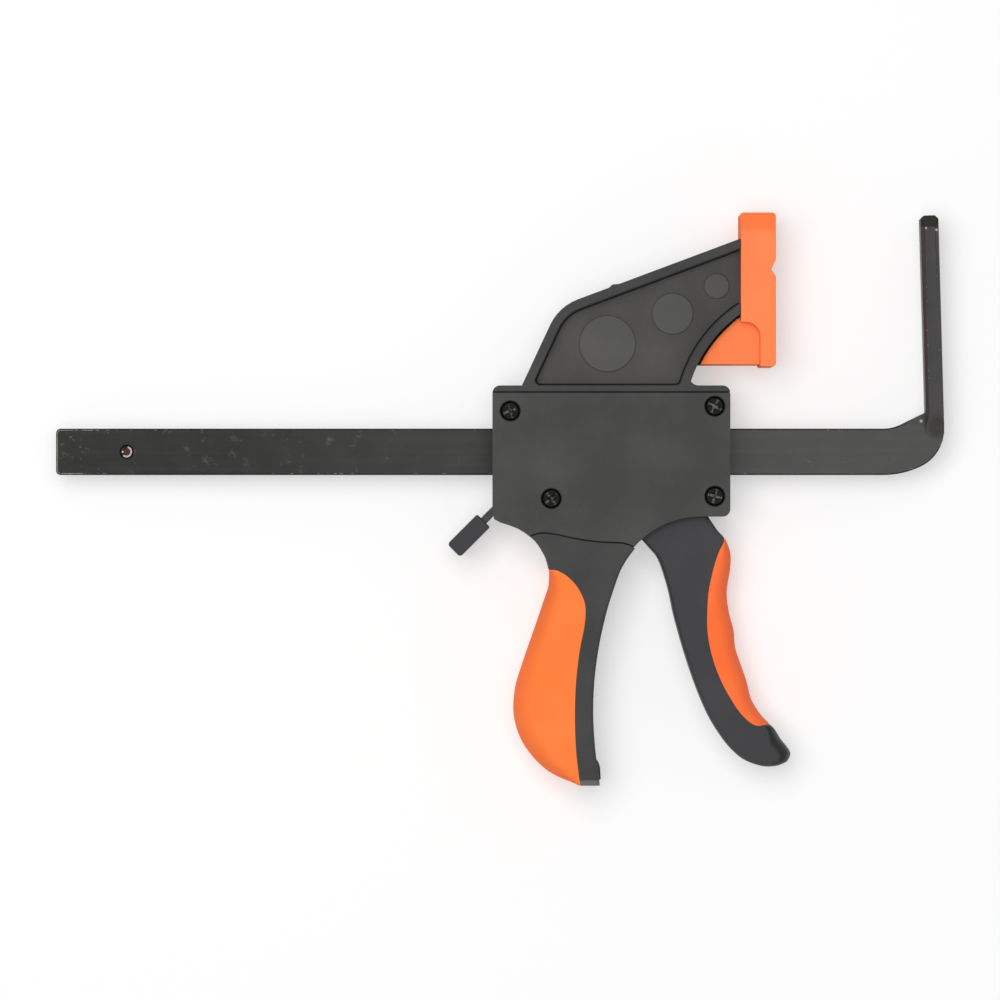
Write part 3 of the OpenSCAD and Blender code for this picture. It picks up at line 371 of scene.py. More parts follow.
    # Pale smudges a few millimetres across, where the oxide is rubbed thin towards the plain end
    smear = add(tree, "TexNoise", None, {
        "Vector": place, "Scale": per_mm(6), "Detail": 4.0, "Roughness": 0.65,
    })
    rear = add(tree, "MapRange", None, {
        "Value": at.outputs["X"],
        "From Min": RUBBED_REAR[0] * MM, "From Max": RUBBED_REAR[1] * MM, "To Max": 0.05,
    })
    smeared = add(tree, "Math", {"operation": "ADD"}, {
        0: smear.outputs["Fac"], 1: rear.outputs["Result"],
    })
    smudge = add(tree, "MapRange", None, {
        "Value": smeared.outputs[0], "From Min": 0.64, "From Max": 0.78, "To Max": 0.16,
    })
    inner = add(tree, "MapRange", None, {
        "Value": edge.outputs["Fac"], "From Min": 0.02, "From Max": 0.3,
    })
    outer = add(tree, "MapRange", None, {
        "Value": edge.outputs["Fac"], "From Min": 0.5, "From Max": 0.9,
        "To Min": 1.0, "To Max": 0.0,
    })
    corner = add(tree, "Math", {"operation": "MULTIPLY"}, {
        0: inner.outputs["Result"], 1: outer.outputs["Result"],
    })
    at_end = add(tree, "Math", {"operation": "ADD"}, {
        0: near.outputs[0], 1: end.outputs["Result"],
    })
    patches = add(tree, "MapRange", None, {
        "Value": at_end.outputs[0], "From Min": 0.6, "From Max": 0.74, "To Max": 0.75,
    })
    rubbed = add(tree, "Math", {"operation": "MULTIPLY"}, {
        0: corner.outputs[0], 1: patches.outputs["Result"],
    })
    worn = add(tree, "Math", {"operation": "MAXIMUM"}, {
        0: chipped.outputs["Result"], 1: smudge.outputs["Result"],
    })
    bare = add(tree, "Math", {"operation": "MAXIMUM"}, {
        0: rubbed.outputs[0], 1: worn.outputs[0],
    })
    # Knocked corners at the arm's tip and foot: bare metal painted bright as highlights
    for (x, y), reach in KNOCK_GLINTS:
        away = add(tree, "VectorMath", {"operation": "DISTANCE"}, {
            0: flat_place.outputs[0], 1: (x * MM, y * MM, 0.0),
        })
        glint = add(tree, "MapRange", None, {
            "Value": away.outputs["Value"],
            "From Min": reach * MM, "From Max": 0.4 * reach * MM,
        })
        bare = add(tree, "Math", {"operation": "MAXIMUM"}, {
            0: bare.outputs[0], 1: glint.outputs["Result"],
        })
    colour = add(tree, "Mix", {"data_type": "RGBA"}, {
        0: bare.outputs[0], 6: edge_shaded.outputs[2], 7: linear("b4b1ac"),
    })
    tree.links.new(colour.outputs[2], shader.inputs["Base Color"])
    sheen = add(tree, "MapRange", None, {
        "Value": lines.outputs[0], "From Min": 0.3, "From Max": 0.7,
        "To Min": 0.54, "To Max": 0.49,
    })
    tree.links.new(sheen.outputs["Result"], shader.inputs["Roughness"])
    bump = add(tree, "Bump", None, {
        "Height": lines.outputs[0], "Strength": 0.08, "Distance": 0.03 * MM,
    })
    tree.links.new(bump.outputs["Normal"], shader.inputs["Normal"])
    return material


def plain_steel(name, dark, pale, worn, dull):
    # Turned, cut or wound steel with a thin finish: a soft mottle, and brighter metal where an edge
    # is worn; in the screws' cross recesses that worn metal is painted bright as highlights.
    material, tree, shader = finish_of(name, Metallic=1.0)
    place = add(tree, "TexCoord").outputs["Object"]
    mottle = add(tree, "TexNoise", None, {"Vector": place, "Scale": per_mm(1.2), "Detail": 3.0})
    skin = add(tree, "Mix", {"data_type": "RGBA"}, {
        0: mottle.outputs["Fac"], 6: linear(dark), 7: linear(pale),
    })
    edge = add(tree, "Attribute", {"attribute_name": "edge"})
    spots = add(tree, "MapRange", None, {
        "Value": mottle.outputs["Fac"], "From Min": 0.42, "From Max": 0.55,
    })
    rubbed = add(tree, "Math", {"operation": "MULTIPLY"}, {
        0: edge.outputs["Fac"], 1: spots.outputs["Result"],
    })
    colour = add(tree, "Mix", {"data_type": "RGBA"}, {
        0: rubbed.outputs[0], 6: skin.outputs[2], 7: linear(worn),
    })
    tree.links.new(colour.outputs[2], shader.inputs["Base Color"])
    rough = add(tree, "MapRange", None, {
        "Value": mottle.outputs["Fac"], "From Min": 0.3, "From Max": 0.7,
        "To Min": dull, "To Max": dull - 0.12,
    })
    tree.links.new(rough.outputs["Result"], shader.inputs["Roughness"])
    return material


HOUSING_NYLON = moulded_nylon("glass_filled_nylon_spark_textured", "353535", "414140", 0.58)
COVER_NYLON = moulded_nylon("glass_filled_nylon_spark_textured_handled", "393938", "464644", 0.58)
# The web is painted paler than the housing, a painted light that offsets the shade in its recess
WEB_NYLON = moulded_nylon("glass_filled_nylon_web_painted_paler", "3d3c3b", "4b4a49", 0.55)
MARK_NYLON = moulded_nylon("glass_filled_nylon_smooth_spot", "484847", "504f4e", 0.5)
# Near black: a painted shade for the recess's corner groove and the gap behind the pad's web
SHADE_NYLON = moulded_nylon("glass_filled_nylon_painted_shade", "161616", "1c1c1c", 0.7)
LEVER_NYLON = moulded_nylon("glass_filled_nylon_fine_textured", "343436", "3b3b3d", 0.55)
# The trigger's tip gets a near-black painted shade where it turns to its side
shade_tip_turn(LEVER_NYLON, "0e0e10")
# The last colour of each elastomer is its redder painted shade
GRIP_ELASTOMER = soft_elastomer("orange_elastomer_overmoulded", "fd7f3e", "ff8746", "ff7a3c")
# The finger grip's redder copy of the orange elastomer is a painted shade
FINGER_ELASTOMER = soft_elastomer("orange_elastomer_overmoulded_in_shade", "fe7038", "ff7a44", "ff7242")
PAD_ELASTOMER = soft_elastomer("orange_elastomer_moulded", "fd8450", "ff8a57", "ff743c", PAD_SHADE_FROM)
BAR_STEEL = blackened_steel("drawn_steel_black_oxide")
LEVER_STEEL = plain_steel("sheet_steel_black_oxide", "4b4b50", "636368", "8a8a88", 0.5)
# The screws' pale worn colour paints highlights into their cross recesses
SCREW_STEEL = plain_steel("steel_black_phosphate", "191919", "2d2d2d", "8f8d89", 0.42)
PIN_STEEL = plain_steel("spring_steel_rolled", "8f8a84", "d0ccc6", "f0ece6", 0.35)
PIN_SHADED = plain_steel("spring_steel_in_painted_shade", "1d1a18", "4a423c", "4a423c", 0.55)
BORE_PLUG = plain_steel("brown_plug_in_a_bore", "5a382c", "c08a76", "c08a76", 0.7)
PLATED_STEEL = plain_steel("steel_zinc_plated", "8a8c90", "b9bbbf", "d0d2d4", 0.4)


def piece(name, form, body, materials, nodes, smooth_to=35.0):
    """A finished mesh as one named piece, riding a body and standing for nodes.

    It is shaded smooth across edges up to the angle given.
    """
    for face in form.faces:
        face.smooth = True
    for edge in form.edges:
        if len(edge.link_faces) == 2:
            edge.smooth = edge.calc_face_angle(0.0) < math.radians(smooth_to)
    mesh = bpy.data.meshes.new(name)
    form.to_mesh(mesh)
    form.free()
    for material in materials:
        mesh.materials.append(material)
    made = bpy.data.objects.new(name, mesh)
    bpy.context.scene.collection.objects.link(made)
    normals = made.modifiers.new("flat faces stay flat", "WEIGHTED_NORMAL")
    normals.keep_sharp = True
    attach(made, body)
    if nodes:
        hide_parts(*nodes)
    return made


def folded_groups(form):
    """The runs of faces side by side in one plane where the fill of at least one folds over."""
    fold, one_plane = -0.001, 0.999995
    folded = set()
    for corners in form.calc_loop_triangles():
        a, b, c = (loop.vert.co for loop in corners)
        if (b - a).cross(c - a).dot(corners[0].face.normal) < fold:
            folded.add(corners[0].face)
    groups = []
    while folded:
        group = [folded.pop()]
        taken = set(group)
        for face in group:
            for edge in face.edges:
                for other in edge.link_faces:
                    if other not in taken and abs(other.normal.dot(face.normal)) > one_plane:
                        taken.add(other)
                        folded.discard(other)
                        group.append(other)
        groups.append(group)
    return groups


def softened(node, rounds, above=None):
    """The form of a solid with its outer edges rounded and its flat faces filled anew between them.

    Each round is a radius in millimetres and a test of an edge's middle, which says whether it is
    rounded so. With a height given, only the part above it is kept, and closed again there.
    """
    steps, sharp, one_plane = 3, math.radians(40.0), math.radians(0.6)
    weld, sliver = 0.002, 0.0001
    form = bmesh.new()
    form.from_mesh(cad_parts[node].data)
    edge = form.verts.layers.float.new("edge")
    turned = form.faces.layers.int.new("turned")
    # Worked in millimetres, so that the smallest steps are far above the fill's own tolerance
    bmesh.ops.scale(form, vec=(1 / MM,) * 3, verts=form.verts)
    bmesh.ops.remove_doubles(form, verts=form.verts, dist=weld)
    if above is not None:
        cut = bmesh.ops.bisect_plane(
            form, geom=form.verts[:] + form.edges[:] + form.faces[:],
            plane_co=(0, above, 0), plane_no=(0, 1, 0), clear_inner=True,
        )
        rim = [e for e in cut["geom_cut"] if isinstance(e, bmesh.types.BMEdge)]
        bmesh.ops.triangle_fill(
            form, use_beauty=True, use_dissolve=False, edges=rim, normal=(0, -1, 0),
        )
    bmesh.ops.dissolve_limit(form, angle_limit=one_plane, verts=form.verts, edges=form.edges)
    for radius, inside in rounds:
        chosen = [
            e for e in form.edges
            if len(e.link_faces) == 2 and e.is_convex and e.calc_face_angle(0.0) > sharp
            and inside((e.verts[0].co + e.verts[1].co) / 2)
        ]
        made = bmesh.ops.bevel(
            form, geom=chosen, offset=radius, offset_type="OFFSET", segments=steps, profile=0.5,
            affect="EDGES", clamp_overlap=False, loop_slide=False,
        )
        for face in made["faces"]:
            face[turned] = 1
    for group in folded_groups(form):
        normal = group[0].normal.copy()
        inside = set(group)
        rim = [e for f in group for e in f.edges if sum(g in inside for g in e.link_faces) == 1]
        bmesh.ops.delete(form, geom=group, context="FACES_KEEP_BOUNDARY")
        bmesh.ops.triangle_fill(
            form, use_beauty=True, use_dissolve=False, edges=rim, normal=normal,
        )
    bmesh.ops.dissolve_degenerate(form, dist=sliver, edges=form.edges)
    bmesh.ops.recalc_face_normals(form, faces=form.faces)
    for vert in form.verts:
        vert[edge] = float(all(f[turned] for f in vert.link_faces))
    bmesh.ops.scale(form, vec=(MM,) * 3, verts=form.verts)
    return form


def anywhere(p):
    """For a piece that is rounded on all its outer edges."""
    return True


def curve_through(points, steps):
    """A smooth line through given points, with this many steps from each one to the next."""
    line = []
    for i in range(len(points) - 1):
        a, b = points[max(i - 1, 0)], points[i]
        c, d = points[i + 1], points[min(i + 2, len(points) - 1)]
        for k in range(steps):
            t = k / steps
            line.append(tuple(
                (2 * q + (r - p) * t + (2 * p - 5 * q + 4 * r - s) * t * t
                 + (3 * q - p - 3 * r + s) * t ** 3) / 2
                for p, q, r, s in zip(a, b, c, d)
            ))
    line.append(tuple(points[-1]))
    return line


def skin_over(form, rings):
    """Joins each ring of points to the next and closes the ends; a ring of one point is a tip."""
    faces = []
    for one, two in zip(rings, rings[1:]):
        around = max(len(one), len(two))
        for k in range(around):
            j = (k + 1) % around
            corners = [
                one[k % len(one)], one[j % len(one)], two[j % len(two)], two[k % len(two)],
            ]
            faces.append(form.faces.new(list(dict.fromkeys(corners))))
    for ring in (rings[0], rings[-1]):
        if len(ring) > 1:
            faces.append(form.faces.new(ring))
    bmesh.ops.recalc_face_normals(form, faces=faces)


def circle(form, middle, radius, height, around):
    """A ring of points round a place, each at the height for its angle; no radius gives one point."""
    ring = []
    for k in range(around if radius else 1):
        a = 2 * math.pi * k / around
        x, y = middle[0] + radius * math.cos(a), middle[1] + radius * math.sin(a)
        ring.append(form.verts.new((x * MM, y * MM, height(a) * MM)))
    return ring


def cross_section(form, start, end, upper, sag=0.0):
    """A ring from one outline to another, from its upper half: shares of the way, and heights."""
    ring = []
    for t, z in upper + [(t, -z) for t, z in reversed(upper)]:
        at = start.lerp(end, t)
        at.y -= sag * math.sin(math.pi * t)
        ring.append(form.verts.new((at.x * MM, at.y * MM, (MID_Z + z) * MM)))
    return ring


def grip_form(border, outer, turn, shade_spots, crown, sag=0.0):
    """A moulded grip from the edge of its core out to its own outline, station by station.

    Both faces are slightly crowned and turn over on a quarter round into the outer side. The lower
    end sags below its straight line in the middle.
    """
    flat_steps, turn_steps, side_half, widest_turn = 6, 9, 1.0, 0.9
    crown_eases, sag_eases = 6, 4
    half = shade_spots / 2
    form = bmesh.new()
    rings = []
    last = len(border) - 1
    for i, (start, end) in enumerate(zip(border, outer)):
        start, end = Vector(start), Vector(end)
        share = min(turn / (end - start).length, widest_turn)
        swell = crown * min(1.0, i / crown_eases, (last - i) / crown_eases)
        upper = [(k / flat_steps * (1 - share), half) for k in range(flat_steps)]
        for k in range(turn_steps + 1):
            a = math.pi / 2 * k / turn_steps
            upper.append((
                1 - share * (1 - math.sin(a)), side_half + (half - side_half) * math.cos(a),
            ))
        upper = [(t, z + swell * math.sin(math.pi * t)) for t, z in upper]
        lower = sag * max(0.0, 1 - (last - i) / sag_eases)
        rings.append(cross_section(form, start, end, upper, lower))
    skin_over(form, rings)
    return form


def add_limb(form, inner, outer, inner_turn, outer_turns, outer_drops, halves):
    """Adds a moulded limb to a form, from its inner outline to its outer one.

    Both long edges are turned over: the inner one evenly, the outer one by its own width and drop
    at each station.
    """
    turn_steps, flat_steps, inner_most, outer_most = 5, 6, 0.4, 0.5
    quarter = [math.pi / 2 * k / turn_steps for k in range(turn_steps + 1)]
    rings = []
    for i, (start, end) in enumerate(zip(inner, outer)):
        start, end, half = Vector(start), Vector(end), halves[i]
        length = (end - start).length
        one = min(inner_turn / length, inner_most)
        two = min(outer_turns[i] / length, outer_most)
        rise, drop = min(inner_turn, half), min(outer_drops[i], half - TIP_SIDE)
        upper = [(one * (1 - math.cos(a)), half - rise * (1 - math.sin(a))) for a in quarter]
        upper += [(one + (1 - one - two) * k / flat_steps, half) for k in range(1, flat_steps)]
        upper += [
            (1 - two * (1 - math.cos(a)), half - drop * (1 - math.sin(a)))
            for a in reversed(quarter)
        ]
        rings.append(cross_section(form, start, end, upper))
    skin_over(form, rings)


def jaw_lip():
    """The thin lip of the jaw that runs along the curve of its throat, behind the pad's web."""
    form = bmesh.new()
    steps = 24
    (near, far), (low, high) = LIP_R, LIP_Z
    rings = []
    for i in range(steps + 1):
        a = math.radians(THROAT_START + THROAT_SWEEP * i / steps)
        rings.append([
            form.verts.new((
                (THROAT_MIDDLE[0] + r * math.cos(a)) * MM,
                (THROAT_MIDDLE[1] + r * math.sin(a)) * MM, z * MM,
            ))
            for r, z in ((near, low), (far, low), (far, high), (near, high))
        ])
    skin_over(form, rings)
    return form


def coil_form(start, length, across, wire, turns):
    """A compression spring along X with its end turns closed, as one tube of round wire."""
    per_turn, sides = 28, 10
    # The end turns lie against each other, so the pitch eases in and out over one turn
    closed, pressed = 1.0, 0.35
    radius = (across - wire) / 2
    run = length - wire
    form = bmesh.new()
    rings = []
    for i in range(turns * per_turn + 1):
        turn = i / per_turn
        in_ends = min(turn, closed) + max(0.0, turn - (turns - closed))
        share = (turn - (1 - pressed) * in_ends) / (turns - 2 * (1 - pressed) * closed)
        angle = 2 * math.pi * turn
        centre = wire / 2 + run * share
        ring = []
        for k in range(sides):
            b = 2 * math.pi * k / sides
            reach = radius + wire / 2 * math.cos(b)
            ring.append(form.verts.new((
                (start[0] + centre + wire / 2 * math.sin(b)) * MM,
                (start[1] + reach * math.cos(angle)) * MM,
                (start[2] + reach * math.sin(angle)) * MM,
            )))
        rings.append(ring)
    skin_over(form, rings)
    return form


def screw_heads():
    """Four pan-head screws with a tapered cross recess; their heads sit in the counterbores."""
    form = bmesh.new()
    worn = form.verts.layers.float.new("edge")
    around = 96
    radii = [0.15 * k for k in range(13)] + [2.0, 2.2, 2.45, 2.7, 2.95, 3.1, 3.22]
    dome_drop, dome_side, ease, point = 0.75, 0.95, 0.1, 0.6
    wing_half, wing_taper, wing_wall = 0.74, 0.12, 0.2
    wing_reach, wing_end = 2.25, 0.25
    wing_depth, wing_rise = 1.05, 0.2

    def top(x, y):
        """Height of the head's top at a point, and how much of the recess's worn metal is painted
        bright as highlight there.
        """
        dome = HEAD_TOP - dome_drop * (math.hypot(x, y) / HEAD_R) ** 4
        depth, rim = 0.0, 0.0
        for u, v in ((x, y), (y, x)):
            # Each wing narrows and rises from the middle outwards
            across = (wing_half - wing_taper * abs(u) - abs(v)) / wing_wall
            along = (wing_reach - abs(u)) / wing_end
            within = max(0.0, min(1.0, across)) * max(0.0, min(1.0, along))
            sunk = within * (wing_depth - wing_rise * abs(u))
            if sunk > depth:
                depth = sunk
                rim = min(1.0, 5 * within * (1 - within) + 0.45 * within)
        return dome - depth, rim

    below = [
        (HEAD_R, HEAD_TOP - dome_side), (HEAD_R, HEAD_LOW + ease), (HEAD_R - ease, HEAD_LOW),
        (SHANK_R, HEAD_LOW), (SHANK_R, SHANK_LOW + point), (SHANK_R - point, SHANK_LOW),
    ]
    for seat, turn in zip(SCREW_SEATS, SCREW_TURNS):
        turned = Matrix.Rotation(math.radians(turn), 2)
        rings = []
        for r in radii:
            ring = []
            for k in range(around if r else 1):
                a = 2 * math.pi * k / around
                flat = Vector((r * math.cos(a), r * math.sin(a)))
                at = turned @ flat
                height, rim = top(*flat)
                vert = form.verts.new(((seat[0] + at.x) * MM, (seat[1] + at.y) * MM, height * MM))
                vert[worn] = rim
                ring.append(vert)
            rings.append(ring)
        rings += [circle(form, seat, r, lambda a: z, around) for r, z in below]
        skin_over(form, rings)
    return form


def rolled_pin():
    """A slit spring pin: a strip rolled to a tube, open towards the bar's plain end, ends eased."""
    form = bmesh.new()
    arcs = 48
    slit = math.radians(STOP_SLIT)
    bore, bore_ease, rim_ease = STOP_R - STOP_WALL, 0.12, 0.08
    profile = [
        (bore, STOP_EASE), (bore + bore_ease, 0.0), (STOP_R - STOP_EASE, 0.0),
        (STOP_R - rim_ease, STOP_EASE / 2), (STOP_R, STOP_EASE),
    ]
    section = [(r, MID_Z - STOP_REACH + h) for r, h in profile]
    section += [(r, MID_Z + STOP_REACH - h) for r, h in reversed(profile)]
    rows = []
    for k in range(arcs + 1):
        a = math.pi + slit / 2 + (2 * math.pi - slit) * k / arcs
        rows.append([
            form.verts.new(((STOP_X + r * math.cos(a)) * MM, r * math.sin(a) * MM, z * MM))
            for r, z in section
        ])
    skin_over(form, rows)
    return form


def bore_filling():
    """A brown plug in the pin's bore, hollow at both ends and higher away from the slit."""
    form = bmesh.new()
    slack, slant, around = 0.02, 0.8, 32
    full = STOP_R - STOP_WALL - slack
    levels = [(0.0, 3.1), (0.5 * full, 3.15), (0.85 * full, 3.3), (full, 3.5)]
    rings = [
        circle(
            form, (STOP_X, 0.0), r,
            lambda a: MID_Z + side * (h + slant * r / full * math.cos(a)), around,
        )
        for side, run in ((1, levels), (-1, levels[::-1]))
        for r, h in run
    ]
    skin_over(form, rings)
    return form


def gate_stub():
    """The low wedge left on the jaw's upper edge where the mould was filled."""
    form = bmesh.new()
    outline = [
        (-1.0, 55.6), (-0.9, 56.25), (0.1, 57.35), (0.8, 57.75), (2.4, 57.85), (4.7, 58.25),
        (4.6, 57.6),
    ]
    # Across the jaw's edge: heights Z, and how much of the wedge stands there
    across = [(10.0, 0.0), (10.5, 0.7), (11.2, 1.0), (16.8, 1.0), (17.5, 0.7), (18.0, 0.0)]
    sunk = 0.15
    rings = []
    for z, share in across:
        ring = []
        for x, y in outline:
            on_edge = JAW_EDGE[1] + (x - JAW_EDGE[0]) * math.tan(math.radians(JAW_SLOPE)) - sunk
            height = on_edge + (y - on_edge) * share if y > on_edge else y
            ring.append(form.verts.new((x * MM, height * MM, z * MM)))
        rings.append(ring)
    skin_over(form, rings)
    return form


def from_handle(points):
    return [(x, BODY_LOW - y) for x, y in points]


def from_trigger(points):
    return [(PIVOT_X + x, BODY_LOW - y) for x, y in points]


# Edge of the hard core that the palm grip meets, from the neck down, then the palm's own outline
CORE_EDGE = [
    (-21.8, 16.7), (-21.3, 18.2), (-18.6, 18.5), (-15, 20.6), (-11.4, 24.6), (-9, 30.3),
    (-9.2, 37.2), (-10.9, 46.2), (-12.1, 56.7), (-12.5, 67.7), (-12.2, 78.7), (-11.3, 87.7),
    (-10.6, 92.3),
]
PALM_EDGE = [
    (-21.3, 19.2), (-21.3, 21.4), (-21.6, 24.4), (-23.3, 29.4), (-25.4, 35.7), (-28.2, 43.7),
    (-31, 51.9), (-33.2, 60), (-33.3, 69.8), (-29.5, 79.4), (-21.7, 87.7), (-12.2, 92),
]
# The trigger's edge towards the handle, the one towards the bar's bend, and the outline of the
# strip on it; the strip meets the trigger from the third place to the fourteenth
TRIGGER_BACK = [
    (-3.2, -2.8), (-16.2, 5.2), (-14.9, 6.9), (-11.6, 10.6), (-8.2, 15.1), (-5.1, 24.5),
    (-3.2, 33.3), (-1.6, 39.4), (0.1, 45.3), (2, 51.3), (4, 57.1), (6.3, 63), (9, 68.9),
    (12.5, 74.7), (16.5, 79.9), (21.4, 83.8), (27.8, 85.9), (33.2, 85.7),
]
TRIGGER_EDGE = [
    (6.8, -2.8), (11.7, 4.5), (14.2, 7.8), (12.3, 12.2), (10.5, 17.7), (8.8, 25.7), (8.3, 33.3),
    (8.4, 39.2), (9.3, 45.2), (11, 51.3), (13.4, 57.1), (16.5, 62.8), (20.3, 68.2), (24.8, 71.7),
    (30.2, 71.8), (33.8, 76.6), (37.1, 81.2), (36.2, 84.3),
]
STRIP_START, STRIP_END = 2, 13
FINGER_EDGE = [
    (14.9, 7.9), (16.5, 12.4), (16.5, 17.7), (15.3, 26), (16.1, 33.3), (17.6, 38.9), (18.2, 45.2),
    (20.1, 51), (22.1, 56.8), (23.7, 62.9), (26.7, 67.9), (29.8, 71.2),
]
STEPS = 6

# Both soft grips, each from the edge of its hard core out to its own outline
core_line = curve_through(from_handle(CORE_EDGE), STEPS)[STEPS:]
palm_line = curve_through(from_handle(PALM_EDGE), STEPS)
piece(
    "palm_grip", grip_form(core_line, palm_line, PALM_R, HANDLE_T, PALM_CROWN), "housing",
    [GRIP_ELASTOMER], ["handle_grip"], smooth_to=50.0,
)
trigger_edge = curve_through(from_trigger(TRIGGER_EDGE), STEPS)
edge_line = trigger_edge[STRIP_START * STEPS : STRIP_END * STEPS + 1]
finger_line = curve_through(from_trigger(FINGER_EDGE), STEPS)
piece(
    "finger_grip",
    grip_form(edge_line, finger_line, FINGER_R, TRIGGER_T, FINGER_CROWN, FINGER_SAG), "trigger",
    [FINGER_ELASTOMER], ["trigger_grip"], smooth_to=50.0,
)


def on_shell(p):
    """On the housing's outside: not in its hollow or its jaw's recess, nor where the cover lies."""
    in_hollow = abs(p.x) < HOLLOW_HALF and p.y < HOLLOW_TOP and HOLLOW_Z[0] < p.z < HOLLOW_Z[1]
    in_recess = p.y >= JAW_LOW and abs(p.z - MID_Z) <= JAW_RIM
    at_cover = abs(p.y - COVER_TOP) < COVER_NEAR and p.z > COVER_SEAT
    return p.y > SHELL_LOW and not (in_hollow or in_recess or at_cover)


def on_mark_rim(p):
    return p.y > MARKS_LOW and abs(abs(p.z - MID_Z) - MARK_LEVEL) < NEAR


housing = softened("body_frame", [(EDGE_R, on_shell), (MARK_R, on_mark_rim)])
# The toe's turned-over front corner runs square on to its end, and the neck's edge has no kink
for vert in housing.verts:
    x, y, z = vert.co / MM
    if abs(x - NECK_KINK[0]) < KINK_REACH and abs(y - NECK_KINK[1]) < KINK_REACH:
        vert.co.y -= KINK_DROP * MM
    past = (abs(z - MID_Z) - TOE_HALF) / TOE_R
    if y < TOE_Y + TOE_REACH[1] and x > TOE_X - TOE_REACH[0] and past > TOE_TURN_FROM:
        turned_in = TOE_R * (1 - math.sqrt(max(0.0, 1 - past * past)))
        vert.co = Vector((TOE_X - turned_in, TOE_Y, z)) * MM
bmesh.ops.recalc_face_normals(housing, faces=housing.faces)
# The jaw's recess has a web painted paler against its shade, a painted shade in its corner groove,
# and round spots with their own finish
HOUSING_FINISHES = [HOUSING_NYLON, MARK_NYLON, WEB_NYLON, SHADE_NYLON]
for face in housing.faces:
    middle = face.calc_center_median() / MM
    out = abs(middle.z - MID_Z)
    is_level = abs(face.normal.z) > 0.99
    if middle.y > RECESS_LOW:
        if is_level and abs(out - MARK_LEVEL) < NEAR:
            face.material_index = HOUSING_FINISHES.index(MARK_NYLON)
        elif is_level and abs(out - WEB_LEVEL) < NEAR:
            face.material_index = HOUSING_FINISHES.index(WEB_NYLON)
        # Faces just below the web's level, in the corner groove, get the painted shade
        elif SHADE_BELOW[0] < WEB_LEVEL - out < SHADE_BELOW[1]:
            face.material_index = HOUSING_FINISHES.index(SHADE_NYLON)
piece(
    "housing_moulding", housing, "housing", HOUSING_FINISHES, ["body_frame"],
)
piece("gate_stub", gate_stub(), "housing", [HOUSING_NYLON], [])
# The lip is painted near black: a painted shade in the gap between the jaw's throat and the pad's web
piece("jaw_lip", jaw_lip(), "housing", [SHADE_NYLON], [])
piece(
    "cover", softened("cover_plate", [(EDGE_R, anywhere)]), "housing", [COVER_NYLON],
    ["cover_plate"],
)
piece("screws", screw_heads(), "housing", [SCREW_STEEL], ["cover_screws"])


def off_socket(p):
    """On the pad's outside, away from the socket that the jaw's tongue fills."""
    return p.y < SOCKET_LOW or p.x > SOCKET_END or abs(p.z - MID_Z) > SOCKET_HALF


piece(
    "pad", softened("jaw_pad", [(EDGE_R, off_socket)]), "housing", [PAD_ELASTOMER],
    ["jaw_pad"],
)


def on_flat(p):
    """On the bar's long edges, which are rolled round up to the turn under the arm."""
    on_face = abs(abs(p.z - MID_Z) - BAR_HALF) < NEAR
    by_hole = math.hypot(p.x - STOP_X, p.y) < STOP_CLEAR
    return on_face and not by_hole and (p.x < TURN_X or p.y < TURN_Y)


def on_arm(p):
    """On the arm's edges, which are only broken."""
    return p.x > ARM_X and p.y > ARM_LOW


piece(
    "bar", softened("clamp_bar", [(BAR_EDGE_R, on_flat), (ARM_EDGE_R, on_arm)]), "bar",
    [BAR_STEEL], ["clamp_bar"],
)
# The pin's upper left side is painted near black: a painted shade
pin = rolled_pin()
for face in pin.faces:
    middle = face.calc_center_median() / MM
    turn = math.atan2(middle.y, middle.x - STOP_X) - math.radians(STOP_DARK_SIDE)
    face.material_index = int(math.cos(turn) > STOP_DARK_SPREAD)
piece("stop_pin", pin, "bar", [PIN_STEEL, PIN_SHADED], ["bar_stop_pin"])
piece("stop_pin_filling", bore_filling(), "bar", [BORE_PLUG], [])

# The trigger's cheeks, with its limb below them: square against the strip, soft all round its tip
lever = softened("trigger", [], above=LIMB_CUT)
back_line = curve_through(from_trigger(TRIGGER_BACK), STEPS)
stations = range(len(back_line))
END_STATIONS = 8
root = [min(1.0, max(0.0, (STRIP_START * STEPS - i) / STEPS)) for i in stations]
tip = [min(1.0, max(0.0, (i - STRIP_END * STEPS) / (2 * STEPS))) for i in stations]
end = [max(0.0, 1 - (stations[-1] - i) / END_STATIONS) for i in stations]
square_to_root = [LIMB_SQUARE + (LIMB_TURN - LIMB_SQUARE) * r for r in root]
add_limb(
    lever, back_line, trigger_edge, LIMB_TURN,
    [edge + (TIP_TURN - LIMB_SQUARE) * t for edge, t in zip(square_to_root, tip)],
    [edge + (TIP_DROP - LIMB_SQUARE) * t for edge, t in zip(square_to_root, tip)],
    [TRIGGER_T / 2 - STRIP_PROUD - TIP_THINS * (1 - math.sqrt(1 - e * e)) for e in end],
)
piece("trigger_lever", lever, "trigger", [LEVER_NYLON], ["trigger"])
for name, node, radius, body in (
    ("trigger_pivot", "trigger_pin", 0.3, "housing"),
    ("release_pivot", "brake_pin", 0.3, "housing"),
    ("drive_plate_at_nose", "drive_plate_front", 0.2, "drive"),
    ("drive_plate_at_spring", "drive_plate_rear", 0.2, "drive"),
):
    form = softened(node, [(radius, anywhere)])
    piece(name, form, body, [PLATED_STEEL], [node])
piece(
    "release_lever", softened("brake_lever", [(0.25, anywhere)]), "release", [LEVER_STEEL],
    ["brake_lever"],
)
piece(
    "release_thumb_tab", softened("release_tab", [(0.45, anywhere)]), "release", [LEVER_NYLON],
    ["release_tab"],
)

